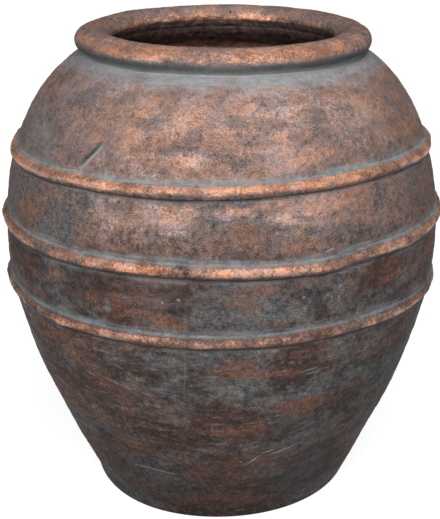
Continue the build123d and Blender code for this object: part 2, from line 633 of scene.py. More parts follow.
@dataclass
class Ring:
    """A ring of clay that is turned from its section and finished by hand."""

    name: str
    slot: Slot
    hand: Handwork
    sectors: int = 24
    sector_steps: int = 30
    crease: float = 50.0
    tiny: float = 1e-6
    inside_span: Point = (0.3, 0.9)

    @property
    def outline(self) -> WallOutline:
        """The wall that the ring belongs to."""
        return self.hand.outline

    def section(self) -> list[Point]:
        """Outline of the ring's section, as pairs of radius and height."""
        raise NotImplementedError

    def turned(self) -> bmesh.types.BMesh:
        """Turns the section through one sector, then repeats the sector round the axis."""
        ring = bmesh.new()
        corners = self.drawn(ring)
        sides = [ring.edges.new(pair) for pair in zip(corners, corners[1:] + corners[:1])]
        sector = 2.0 * pi / self.sectors
        axis = {"cent": (0.0, 0.0, 0.0), "axis": (0.0, 0.0, 1.0)}
        bmesh.ops.spin(ring, geom=corners + sides, angle=sector, steps=self.sector_steps, **axis)
        geom = ring.verts[:] + ring.edges[:] + ring.faces[:]
        rest = 2.0 * pi - sector
        bmesh.ops.spin(ring, geom=geom, angle=rest, steps=self.sectors - 1, use_duplicate=True, **axis)
        bmesh.ops.remove_doubles(ring, verts=ring.verts, dist=self.tiny)
        bmesh.ops.recalc_face_normals(ring, faces=ring.faces)
        return ring

    def drawn(self, ring: bmesh.types.BMesh) -> list[bmesh.types.BMVert]:
        """Draws the corners of the section."""
        return [ring.verts.new((radius, 0.0, height)) for radius, height in self.section()]

    def refined(
        self, ring: bmesh.types.BMesh, marks: list[tuple[np.ndarray, float]], cuts: int = 2
    ) -> None:
        """Divides the edges of the clay round its pits and strokes.

        Args:
            ring: The turned ring.
            marks: The path of each mark, and how far from it the clay is moved.
            cuts: How many cuts each edge gets.
        """
        ring.verts.index_update()
        places = np.array([vert.co for vert in ring.verts])
        near = np.zeros(len(places), bool)
        for path, reach in marks:
            close = np.flatnonzero(near_path(places, path, reach))
            for spot in path:
                near[close] |= np.linalg.norm(places[close] - spot, axis=1) < reach
        if near.any():
            ends = zip(ring.edges, ((edge.verts[0].index, edge.verts[1].index) for edge in ring.edges))
            edges = [edge for edge, (start, end) in ends if near[start] and near[end]]
            bmesh.ops.subdivide_edges(ring, edges=edges, cuts=cuts, use_grid_fill=True)

    def shaped(self, mesh: bpy.types.Mesh, points: np.ndarray) -> np.ndarray:
        """The ring's places as made by hand."""
        return self.hand.moved(points)

    def inside(self, points: np.ndarray) -> np.ndarray:
        """How far in the wall each point lies, from 0 near its outer face to 1 near its inner face."""
        depth = self.outline.radius(points[:, 2]) - radius_of(points)
        start, end = self.inside_span
        return soft_step(depth, start * self.outline.wall, end * self.outline.wall)

    def marked(self, points: np.ndarray) -> dict[Mark, np.ndarray]:
        """What the finish reads at each place of the even ring."""
        raise NotImplementedError

    def build(self) -> bpy.types.Object:
        """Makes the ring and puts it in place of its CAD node.

        Returns:
            The finished object.
        """
        ring = self.turned()
        mesh = bpy.data.meshes.new(self.name)
        ring.to_mesh(mesh)
        ring.free()
        points = np.empty(len(mesh.vertices) * 3, np.float32)
        mesh.vertices.foreach_get("co", points)
        points = points.reshape(-1, 3).astype(float)
        made = self.shaped(mesh, points)
        for mark, amount in self.marked(points).items():
            layer = mesh.attributes.new(mark.value, "FLOAT", "POINT")
            layer.data.foreach_set("value", np.clip(amount, 0.0, 1.0).astype(np.float32))
        mesh.vertices.foreach_set("co", made.astype(np.float32).ravel())
        mesh.shade_smooth()
        mesh.set_sharp_from_angle(angle=radians(self.crease))
        mesh.update()
        piece = placed(f"{self.name}_dressed", mesh)
        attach(piece, BODY)
        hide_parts(self.name)
        log.info("%s: %d faces", piece.name, len(mesh.polygons))
        return piece


def lower_round(centre: Point, radius: float, steps: int = 8) -> list[Point]:
    """The lower half of a circle, from its outer end to its inner end.

    Args:
        centre: Radius and height of the middle.
        radius: Radius of the circle.
        steps: How many pieces the half circle has.

    Returns:
        Pairs of radius and height.
    """
    turns = [-pi * step / steps for step in range(steps + 1)]
    return [(centre[0] + radius * cos(turn), centre[1] + radius * sin(turn)) for turn in turns]


@dataclass(kw_only=True)
class WallCourse(Ring):
    """One course of the wall, with a bead under it and a groove along its top."""

    bottom: float
    cordons: tuple[CordonLine, ...]
    patches: tuple[Patch, ...]
    row: float = 0.0025
    inner_row: float = 0.005
    bead: float = 0.005
    copper_by_height: tuple[Point, ...] = (
        (0.0, 0.0),
        (0.36, 0.02),
        (0.45, 0.06),
        (0.47, 0.45),
        (0.60, 0.66),
        (0.67, 0.80),
    )
    russet: float = 0.5
    neck_wash: float = 0.036
    neck_chalk: float = 0.012
    neck_chalk_share: float = 0.3
    upper_wash: float = 0.0065
    upper_wash_share: float = 0.7
    lower_wash: float = 0.0070
    lower_wash_share: float = 0.6
    # Width of the painted shadow line along the foot of each cordon
    shade_width: float = 0.0016
    mark_span: float = 0.15

    @property
    def top(self) -> float:
        """Height of the course's upper joint."""
        return top_of(self.name)

    def joint(self, height: float) -> list[Point]:
        """The round of a course joint, in the middle of the wall."""
        middle = float(self.outline.radius(height, self.outline.wall / 2))
        return lower_round((middle, height), self.bead)

    def upper_land(self) -> list[Point]:
        """The groove along the top."""
        return self.joint(self.top)

    def section(self) -> list[Point]:
        """Outer face, groove, inner face and bead of the course."""
        outer = self.outline.rows(self.bottom, self.top, 0.0, self.row)
        inner = self.outline.rows(self.bottom, self.top, self.outline.wall, self.inner_row)
        return outer + self.upper_land() + inner[::-1] + self.joint(self.bottom)[::-1]

    def turned(self) -> bmesh.types.BMesh:
        """Turns the course and gives finer clay to its pits and strokes."""
        ring = super().turned()
        marks = [(mark.path(self.outline), mark.reach() + self.row) for mark in self.hand.marks]
        self.refined(ring, marks)
        return ring

    def marked(self, points: np.ndarray) -> dict[Mark, np.ndarray]:
        """Copper and russet by height and patch, wash by cordons and rim, painted shade under the cordons, in
        pits and strokes and in darker patches, and the dark inside.
        """
        spots = self.hand.spots_under(points)
        heights, amounts = zip(*self.copper_by_height)
        copper = np.interp(points[:, 2], heights, amounts)
        russet = np.full(len(points), self.russet)
        below_rim = self.outline.run_at(self.outline.neck_height) - self.outline.run_at(points[:, 2])
        wash = bell(below_rim, self.neck_wash)
        shade = np.zeros(len(points))
        for patch in self.patches:
            share = patch.share(points, self.outline)
            copper += patch.copper * share
            russet += patch.russet * share
            wash = np.maximum(wash, patch.wash * share)
            shade = np.maximum(shade, patch.shade * share)
        for cordon in self.cordons:
            above = cordon.above(points, self.outline)
            upper = bell(np.maximum(above - cordon.upper_edge, 0.0), self.upper_wash)
            lower = bell(np.maximum(-above - cordon.lower_edge, 0.0), self.lower_wash)
            toes = np.where(above > 0.0, self.upper_wash_share * upper, self.lower_wash_share * lower)
            wash = np.maximum(wash, toes)
            # Painted shadow: a dark line where each cordon's underside meets the wall
            shade = np.maximum(shade, bell(above + cordon.lower_edge, self.shade_width))
        chalk = self.neck_chalk_share * bell(below_rim, self.neck_chalk)
        for mark in self.hand.marks:
            near = np.linalg.norm(spots - mark.path(self.outline).mean(axis=0), axis=1) < self.mark_span
            chalk[near] = np.maximum(chalk[near], mark.washed(spots[near], self.outline))
            shade[near] = np.maximum(shade[near], mark.shaded(spots[near], self.outline))
        return {
            Mark.COPPER: copper,
            Mark.RUSSET: russet,
            Mark.WASH: wash,
            Mark.CHALK: chalk,
            Mark.SHADE: shade,
            Mark.INSIDE: self.inside(points),
        }


@dataclass
class NeckCourse(WallCourse):
    """The top course, drawn in to the throat, with its land grooved for the rim."""

    softening: float = 0.0012

    def upper_land(self) -> list[Point]:
        """A softened edge, then the groove in the land."""
        groove = lower_round((self.outline.rim_radius, self.top), self.bead)
        return [(self.outline.neck_radius - self.softening, self.top)] + groove


@dataclass
class FloorSlab(Ring):
    """The round floor, grooved for the foot course, with a drain hole."""

    row: float = 0.003
    bead: float = 0.005
    heel: float = 0.008
    heel_steps: int = 6
    drain_radius: float = 0.015
    floor_row: float = 0.008
    copper: float = 0.16
    dark_rise: float = 0.01

    def section(self) -> list[Point]:
        """Heel, rim, top face with its groove, drain hole and underside."""
        top = top_of(self.name)
        flare = radians(self.outline.foot_flare)
        rise = self.heel * (1.0 - sin(flare))
        centre = float(self.outline.radius(rise)) - self.heel * cos(flare), self.heel
        turns = [-pi / 2 + (pi / 2 - flare) * step / self.heel_steps for step in range(self.heel_steps)]
        heel = [(centre[0] + self.heel * cos(turn), centre[1] + self.heel * sin(turn)) for turn in turns]
        outer = self.outline.rows(rise, top, 0.0, self.row)
        middle = float(self.outline.radius(top, self.outline.wall / 2))
        groove = lower_round((middle, top), self.bead)
        count = round((groove[-1][0] - self.drain_radius) / self.floor_row)
        spread = np.linspace(groove[-1][0], self.drain_radius, count + 1)[1:]
        upper = [(float(radius), top) for radius in spread]
        under = [(float(radius), 0.0) for radius in spread[::-1]]
        return heel + outer + groove + upper + under

    def marked(self, points: np.ndarray) -> dict[Mark, np.ndarray]:
        """Little copper on the heel, and dark clay on the floor."""
        inside = self.inside(points) * soft_step(points[:, 2], 0.0, self.dark_rise)
        return {Mark.COPPER: np.full(len(points), self.copper), Mark.INSIDE: inside}


@dataclass
class SeamCoil(Ring):
    """The coil smeared into the inside corner of floor and wall."""

    leg: float = 0.024
    hollow: float = 0.004
    arc_steps: int = 14
    row: float = 0.006
    press_fade: float = 0.006
    presses: Waves = Waves(length=0.035, height=0.0009, seed=51)

    @property
    def floor(self) -> float:
        """Height of the floor's top face."""
        return top_of("floor_slab")

    def section(self) -> list[Point]:
        """A hollow face from the floor to the wall, and the two faces that are bedded."""
        wall = self.outline.rows(self.floor, self.floor + self.leg, self.outline.wall, self.row)
        start = Vector((wall[0][0] - self.leg, self.floor))
        end = Vector(wall[-1])
        sink = (end - start).normalized()
        sink = Vector((sink.y, -sink.x)) * self.hollow
        face = []
        for step in range(self.arc_steps + 1):
            share = step / self.arc_steps
            point = start.lerp(end, share) + sink * 4.0 * share * (1.0 - share)
            face.append((point.x, point.y))
        return face + wall[-2::-1]

    def shaped(self, mesh: bpy.types.Mesh, points: np.ndarray) -> np.ndarray:
        """Presses the free face unevenly, as fingers do."""
        radius = radius_of(points)
        wall = self.outline.radius(points[:, 2], self.outline.wall)
        free = soft_step(wall - radius, 0.0, self.press_fade)
        free *= soft_step(points[:, 2], self.floor, self.floor + self.press_fade)
        made = self.hand.moved(points)
        push = free * self.presses.at(points)
        made[:, :2] *= (1.0 - push / radius)[:, None]
        made[:, 2] += push
        return made

    def marked(self, points: np.ndarray) -> dict[Mark, np.ndarray]:
        """Dark all over."""
        return {Mark.INSIDE: np.ones(len(points))}


@dataclass(frozen=True)
class RollHole:
    """A pinhole in the rolled rim, at an angle round the jar and a turn on the roll's section."""

    angle: float
    turn: float
    radius: float = 0.0017
    depth: float = 0.0022


@dataclass(kw_only=True)
class RimRoll(Ring):
    """The rolled rim, pressed flat on its land, with a bead under it and a torn inner lip at the back."""

    holes: tuple[RollHole, ...]
    rubs_and_highlights: tuple[Bend, ...]
    depth: float = 0.036
    bead: float = 0.005
    roll_steps: int = 64
    smear_turn: float = 25.0
    smear_pull: float = 0.0035
    smear_steps: int = 10
    edge_gap: float = 0.0008
    lumps: Waves = Waves(length=0.07, height=0.00018, seed=61)
    pinches: Waves = Waves(length=0.014, height=0.00009, seed=62)
    tears: Waves = Waves(length=0.012, height=0.0010, seed=63)
    tear_angle: float = 190.0
    tear_spread: float = 70.0
    tear_core: float = 20.0
    tear_start: Point = (150.0, 175.0)
    tear_end: Point = (225.0, 195.0)
    rise: float = 0.0020
    hole_cuts: int = 3
    hole_reach: float = 2.0
    hole_shade: float = 2.0
    copper: float = 0.52
    russet: float = 0.55
    # Rub bands on the roll's front face and inner lip, laid as painted highlight where light falls on the roll
    face_highlight_middle: float = 40.0
    face_highlight_width: float = 44.0
    lip_highlight_middle: float = 172.0
    lip_highlight_width: float = 20.0
    # Painted shade on the roll's underside, cleared towards the crease where chalk lies, and lighter at the
    # front, where more light falls
    shade: float = 0.84
    clearing: float = 0.85
    chalk: float = 0.7
    front_light_clearing: Bend = Bend(2.0, 12.0, swell=-0.3)
    wash_turns: Point = (20.0, -16.0)
    shade_turns: Point = (14.0, -14.0)
    clear_turns: Point = (-18.0, -42.0)
    inside_turns: Point = (177.0, 190.0)

    @property
    def roll_radius(self) -> float:
        """Radius of the middle of the roll."""
        return self.outline.rim_radius

    @property
    def roll_height(self) -> float:
        """Height of the middle of the roll."""
        return top_of(self.name) - self.depth / 2

    def roll_point(self, turn: float) -> Point:
        """Radius and height of the roll's face at a turn in degrees: 0 faces outwards, and 90 up."""
        return (
            self.roll_radius + self.outline.rim_width / 2 * cos(radians(turn)),
            self.roll_height + self.depth / 2 * sin(radians(turn)),
        )

    def turns_of(self, points: np.ndarray) -> np.ndarray:
        """Turn on the roll's section of each point, in degrees from -90 up to 270."""
        out = (radius_of(points) - self.roll_radius) / (self.outline.rim_width / 2)
        up = (points[:, 2] - self.roll_height) / (self.depth / 2)
        return (np.degrees(np.arctan2(up, out)) + 90.0) % 360.0 - 90.0

    def section(self) -> list[Point]:
        """The bead and the roll, smeared on to the neck outside and into the throat inside."""
        base = self.outline.neck_height
        bead = lower_round((self.roll_radius, base), self.bead)[::-1]
        pitch = radians(self.outline.neck_pitch)
        outer_edge = Vector((self.outline.neck_radius - self.edge_gap, base))
        inner_edge = Vector((self.outline.throat_radius, base))
        outer = self.smear(outer_edge, Vector((-cos(pitch), sin(pitch))), -self.smear_turn, -1.0)
        inner = self.smear(inner_edge, Vector((0.0, 1.0)), 180.0 + self.smear_turn, 1.0)
        turns = np.linspace(-self.smear_turn, 180.0 + self.smear_turn, self.roll_steps + 1)
        return bead + outer + [self.roll_point(turn) for turn in turns[1:-1]] + inner[::-1]

    def smear(self, edge: Vector, lead: Vector, turn: float, way: float) -> list[Point]:
        """A soft curve from the edge of the neck up to the roll.

        Args:
            edge: Where the curve leaves the neck.
            lead: Direction in which it leaves.
            turn: Turn on the roll's section where it arrives.
            way: Sense in which the roll runs on from there, towards the neck.

        Returns:
            Pairs of radius and height.
        """
        end = Vector(self.roll_point(turn))
        along = Vector(self.roll_point(turn + way)) - end
        pull = end + along.normalized() * self.smear_pull
        curve = interpolate_bezier(edge, edge + lead * self.smear_pull, pull, end, self.smear_steps)
        return [(point.x, point.y) for point in curve]

    def hole_spot(self, hole: RollHole) -> np.ndarray:
        """The middle of a hole on the roll's face."""
        radius, height = self.roll_point(hole.turn)
        return place_at(radius, hole.angle, height)

    def turned(self) -> bmesh.types.BMesh:
        """Turns the roll and gives finer clay to its holes."""
        ring = super().turned()
        holes = [(self.hole_spot(hole)[None, :], self.hole_reach * hole.radius) for hole in self.holes]
        self.refined(ring, holes, self.hole_cuts)
        return ring

    def holed(self, points: np.ndarray, hole: RollHole) -> np.ndarray:
        """How deep in a hole each point lies, from 0 to 1."""
        return bowl(np.linalg.norm(points - self.hole_spot(hole), axis=1) / hole.radius)

    def shaped(self, mesh: bpy.types.Mesh, points: np.ndarray) -> np.ndarray:
        """Lumps and pinches the roll, pricks its holes and tears the inner lip at the back."""
        radius = radius_of(points)
        made = self.hand.moved(points)
        free = soft_step(points[:, 2], self.outline.neck_height, self.roll_height - self.depth / 4)
        out = np.stack([radius - self.roll_radius, points[:, 2] - self.roll_height], axis=1)
        out /= np.maximum(np.linalg.norm(out, axis=1, keepdims=True), self.tiny)
        push = free * (self.lumps.at(points) + self.pinches.at(points))
        for hole in self.holes:
            push -= hole.depth * self.holed(points, hole) ** HOLE_CURVE
        push += self.torn(points) * self.tears.at(points)
        made[:, :2] *= (1.0 + push * out[:, 0] / radius)[:, None]
        lifted = self.rise * soft_step(points[:, 2], self.outline.neck_height, self.roll_height)
        made[:, 2] += push * out[:, 1] + lifted
        return made

    def torn(self, points: np.ndarray) -> np.ndarray:
        """How much of the torn inner lip reaches each point."""
        turns = self.turns_of(points)
        aside = np.abs(turn_gap(angles_of(points), self.tear_angle))
        across = soft_step(aside, self.tear_spread, self.tear_core)
        return across * soft_step(turns, *self.tear_start) * soft_step(turns, *self.tear_end)

    def marked(self, points: np.ndarray) -> dict[Mark, np.ndarray]:
        """Copper, and rubbed copper with painted highlight, on the roll; wash and painted shade under it,
        painted shade in its holes, and the dark throat.
        """
        turns = self.turns_of(points)
        angles = angles_of(points)
        copper = self.copper + swollen(self.rubs_and_highlights, angles)
        # Painted highlight bands, laid as rubbed copper on the roll's front face and inner lip
        face = bell(turns - self.face_highlight_middle, self.face_highlight_width)
        lip = bell(turns - self.lip_highlight_middle, self.lip_highlight_width)
        clear = soft_step(turns, *self.clear_turns)
        # Painted shade on the roll's underside, lighter at the front
        shade = self.shade * soft_step(turns, *self.shade_turns) * (1.0 - self.clearing * clear)
        shade *= 1.0 + self.front_light_clearing.swell * self.front_light_clearing.share(angles)
        for hole in self.holes:
            # Painted shade in the pinholes
            shade = np.maximum(shade, np.minimum(1.0, self.hole_shade * self.holed(points, hole)))
        return {
            Mark.COPPER: copper,
            Mark.RUB_AND_HIGHLIGHT: np.clip(copper, 0.0, 1.0) * (face + lip),
            Mark.RUSSET: np.full(len(points), self.russet),
            Mark.WASH: soft_step(turns, *self.wash_turns),
            Mark.CHALK: self.chalk * clear,
            Mark.SHADE: shade,
            Mark.INSIDE: soft_step(turns, *self.inside_turns),
        }


@dataclass(kw_only=True)
class Cordon(Ring):
    """A coil pressed on to the wall, rounder above than below."""

    line: CordonLine
    copper: float
    rubs_and_highlights: tuple[Bend, ...]
    pinholes: tuple[Point, ...]
    along: np.ndarray = field(init=False)
    out: np.ndarray = field(init=False)
    projection: float = 0.0078
    drop: float = 0.0016
    bed: float = 0.0005
    back_steps: int = 4
    curve_steps: int = 14
    sector_steps: int = 50
    crest_pull: float = 0.62
    upper_pull: Point = (-0.006, 0.0005)
    lower_pull: Point = (0.0016, 0.0026)
    grain: Waves = Waves(length=0.014, height=0.00022, seed=71)
    grain_start: float = 0.004
    pinhole_radius: float = 0.0018
    pinhole_depth: float = 0.0025
    nick_spread: float = 1.5
    nick_shade: float = 0.3
    # Painted highlight and shade on the coil: the rub and copper band reach far down the upper side but cover
    # only the top of the lower side
    rub_and_highlight_above: Point = (0.20, 0.68)
    rub_and_highlight_below: Point = (0.66, 1.0)
    band_above: Point = (0.1, 0.5)
    band_below: Point = (0.45, 1.0)
    toe_rise: Point = (0.05, 0.60)
    underside_shade_rise: Point = (0.05, 0.50)
    least_copper: float = 0.60
    least_band: float = 0.45
    russet: float = 0.6
    upper_wash: float = 0.9
    lower_wash: float = 0.15

    def profile(self) -> list[Point]:
        """The coil's section: how far along the wall, and how far out of it.

        Returns:
            Pairs from the upper toe over the crest to the lower toe, and back along the wall.
        """
        upper = Vector((self.line.upper_edge, -self.bed))
        crest = Vector((-self.drop, self.projection))
        lower = Vector((-self.line.lower_edge, -self.bed))
        swell = Vector((self.projection * self.crest_pull, 0.0))
        upper_pull = upper + Vector(self.upper_pull)
        lower_pull = lower + Vector(self.lower_pull)
        fall = interpolate_bezier(upper, upper_pull, crest + swell, crest, self.curve_steps)
        under = interpolate_bezier(crest, crest - swell, lower_pull, lower, self.curve_steps)
        face = [(point.x, point.y) for point in fall + under[1:]]
        back = np.linspace(-self.line.lower_edge, self.line.upper_edge, self.back_steps + 2)[1:-1]
        return face + [(float(along), -2.0 * self.bed) for along in back]

    def section(self) -> list[Point]:
        """The profile on the even wall at the cordon's own height."""
        start = self.outline.run_at(self.line.height)
        points = []
        for along, out in self.profile():
            height = float(self.outline.height_at(start + along))
            outwards, upwards = self.outline.normal(np.array([height]))
            radius = float(self.outline.radius(height) + outwards[0] * out)
            points.append((radius, height + float(upwards[0]) * out))
        return points

    def drawn(self, ring: bmesh.types.BMesh) -> list[bmesh.types.BMVert]:
        """Draws the corners, with a note of how far along and out of the wall each one lies."""
        along = ring.verts.layers.float.new("along")
        out = ring.verts.layers.float.new("out")
        corners = super().drawn(ring)
        for corner, place in zip(corners, self.profile()):
            corner[along] = place[0]
            corner[out] = place[1]
        return corners

    def noted(self, mesh: bpy.types.Mesh, name: str) -> np.ndarray:
        """Reads a note of the corners from the turned mesh."""
        values = np.empty(len(mesh.vertices), np.float32)
        mesh.attributes[name].data.foreach_get("value", values)
        return values.astype(float)

    def shaped(self, mesh: bpy.types.Mesh, points: np.ndarray) -> np.ndarray:
        """Lays the coil along its line on the uneven wall."""
        self.along = self.noted(mesh, "along")
        self.out = self.noted(mesh, "out")
        thickness = self.line.thickness(points, self.outline)
        start = self.outline.run_at(self.line.centre(points, self.outline))
        height = self.outline.height_at(start + self.along * (1.0 + thickness) / 2)
        wall = moved_to(points, self.outline.radius(height), height)
        lift = np.where(self.out > 0.0, self.out * thickness, self.out)
        lift += soft_step(self.out, 0.0, self.grain_start) * self.grain.at(wall)
        lift -= self.pinhole_depth * self.pricked(points)
        distance = lift + self.hand.outer(wall)
        return self.hand.rounded(self.hand.pushed(wall, height, distance), wall)

    def pricked(self, points: np.ndarray) -> np.ndarray:
        """How deep in a pinhole each point of the coil lies, from 0 to 1."""
        deep = np.zeros(len(points))
        radius = float(self.outline.radius(self.line.height))
        for angle, along in self.pinholes:
            aside = np.radians(turn_gap(angles_of(points), angle)) * radius
            gap = np.hypot(aside, self.along - along) / self.pinhole_radius
            deep = np.maximum(deep, np.where(self.out > 0.0, bowl(gap), 0.0))
        return deep

    def marked(self, points: np.ndarray) -> dict[Mark, np.ndarray]:
        """Rubbed copper with painted highlight on the crest, wash on the upper toe, and painted shade under
        the lower side, in nicks and in pinholes.
        """
        proud = self.out / self.projection
        upper = self.along > -self.drop
        # Painted highlight with the rub, mostly on the upper side that light from above falls on
        crest = np.where(upper, soft_step(proud, *self.rub_and_highlight_above), soft_step(proud, *self.rub_and_highlight_below))
        band = np.where(upper, soft_step(proud, *self.band_above), soft_step(proud, *self.band_below))
        toe = 1.0 - soft_step(proud, *self.toe_rise)
        # Painted shade on the coil's lower side, which faces away from the light, with more russet there
        low = np.where(self.along < 0.0, 1.0 - soft_step(proud, *self.underside_shade_rise), 0.0)
        angles = angles_of(points)
        nicked = sum(bend.share(angles) for bend in self.line.bends if bend.spread < self.nick_spread)
        copper = self.copper + swollen(self.rubs_and_highlights, angles)
        return {
            Mark.COPPER: raised(copper, self.least_copper) * raised(band, self.least_band),
            Mark.RUB_AND_HIGHLIGHT: crest * copper,
            Mark.RUSSET: raised(low, self.russet),
            Mark.WASH: np.where(self.along > 0.0, self.upper_wash, self.lower_wash) * toe,
            Mark.SHADE: np.maximum(np.maximum(low, self.nick_shade * nicked), self.pricked(points)),
        }

    def build(self) -> bpy.types.Object:
        """Makes the cordon and drops the notes that only its making needed."""
        piece = super().build()
        for name in ("along", "out"):
            piece.data.attributes.remove(piece.data.attributes[name])
        return piece


@dataclass
class Bench:
    """Lays out the nodes of one tree."""

    tree: bpy.types.NodeTree

    def put(self, kind: str, sockets: dict[Any, Any] | None = None, **settings: Any) -> bpy.types.Node:
        """Adds a node.

        Args:
            kind: The node's type.
            sockets: What feeds its inputs: a value, or another node's output.
            settings: The node's own settings.

        Returns:
            The node.
        """
        node = self.tree.nodes.new(kind)
        for name, value in settings.items():
            setattr(node, name, value)
        for name, value in (sockets or {}).items():
            if isinstance(value, Socket):
                self.tree.links.new(value, node.inputs[name])
            else:
                node.inputs[name].default_value = value
        return node

    def sum(self, operation: str, first: Any, second: Any) -> Socket:
        """A sum of two values."""
        return self.put("ShaderNodeMath", {0: first, 1: second}, operation=operation).outputs[0]

    def add(self, first: Any, second: Any) -> Socket:
        """Two values added."""
        return self.sum("ADD", first, second)

    def less(self, first: Any, second: Any) -> Socket:
        """One value less another."""
        return self.sum("SUBTRACT", first, second)

    def times(self, first: Any, second: Any) -> Socket:
        """Two values multiplied."""
        return self.sum("MULTIPLY", first, second)

    def most(self, first: Any, second: Any) -> Socket:
        """The greater of two values."""
        return self.sum("MAXIMUM", first, second)

    def step(self, value: Any, low: Any, high: Any, end: float = 1.0) -> Socket:
        """A soft step from 0 at low to its end at high."""
        sockets = {"Value": value, "From Min": low, "From Max": high, "To Max": end}
        return self.put("ShaderNodeMapRange", sockets, interpolation_type="SMOOTHSTEP").outputs[0]

    def blend(self, share: Any, first: Any, second: Any, way: str = "MIX") -> Socket:
        """A blend of two colours."""
        sockets = {0: share, 6: first, 7: second}
        return self.put("ShaderNodeMix", sockets, data_type="RGBA", blend_type=way).outputs[2]

    def noise(self, place: Any, scale: float, detail: float, rough: float = 0.55) -> Socket:
        """An uneven pattern with a number of grains to the metre."""
        sockets = {"Vector": place, "Scale": scale, "Detail": detail, "Roughness": rough}
        return self.put("ShaderNodeTexNoise", sockets).outputs["Fac"]

    def mapped(self, place: Any, scale: Triple, shift: Triple) -> Socket:
        """A place stretched and moved, so that patterns differ."""
        return self.put("ShaderNodeMapping", {"Vector": place, "Scale": scale, "Location": shift}).outputs[0]


def new_material(name: str) -> tuple[bpy.types.Material, Bench, bpy.types.Node]:
    """A new material, with the bench of its tree and its shader."""
    material = bpy.data.materials.new(name)
    material.use_nodes = True
    return material, Bench(material.node_tree), material.node_tree.nodes["Principled BSDF"]


@dataclass(frozen=True)
class PatinaTones:
    """Colours of the copper patina over dark clay."""

    umber: Colour = (0.050, 0.034, 0.030, 1.0)
    slate: Colour = (0.115, 0.116, 0.119, 1.0)
    russet: Colour = (0.158, 0.080, 0.057, 1.0)
    haze: Colour = (0.136, 0.107, 0.098, 1.0)
    mist: Colour = (0.116, 0.104, 0.102, 1.0)
    rust: Colour = (0.200, 0.108, 0.076, 1.0)
    dust: Colour = (0.260, 0.238, 0.230, 1.0)
    faded_copper: Colour = (0.150, 0.088, 0.070, 1.0)
    dull_copper: Colour = (0.312, 0.194, 0.161, 1.0)
    pink_copper: Colour = (0.67, 0.462, 0.408, 1.0)
    orange_copper: Colour = (0.60, 0.350, 0.258, 1.0)
    deep_copper: Colour = (0.35, 0.152, 0.090, 1.0)
    rubbed_copper: Colour = (0.79, 0.430, 0.292, 1.0)
    thin_wash: Colour = (0.172, 0.190, 0.200, 1.0)
    wash: Colour = (0.272, 0.294, 0.304, 1.0)
    chalk: Colour = (0.500, 0.515, 0.520, 1.0)
    # Colour of the painted shade
    shade: Colour = (0.026, 0.028, 0.033, 1.0)
    pore: Colour = (0.036, 0.027, 0.026, 1.0)
    cool: Colour = (0.86, 0.94, 1.03, 1.0)
    warm: Colour = (1.12, 1.03, 0.94, 1.0)
    # Lighter than the dark clay: partly painted light, for light that reaches into the mouth
    inside: Colour = (0.600, 0.350, 0.265, 1.0)
    # Painted shade and light inside the mouth by height: a dark throat, a lighter inner underside of the roll,
    # a dark lip edge
    throat: Colour = (0.085, 0.056, 0.048, 1.0)
    under_lip_light: Colour = (0.150, 0.118, 0.110, 1.0)
    lip_edge_shade: Colour = (0.082, 0.052, 0.046, 1.0)


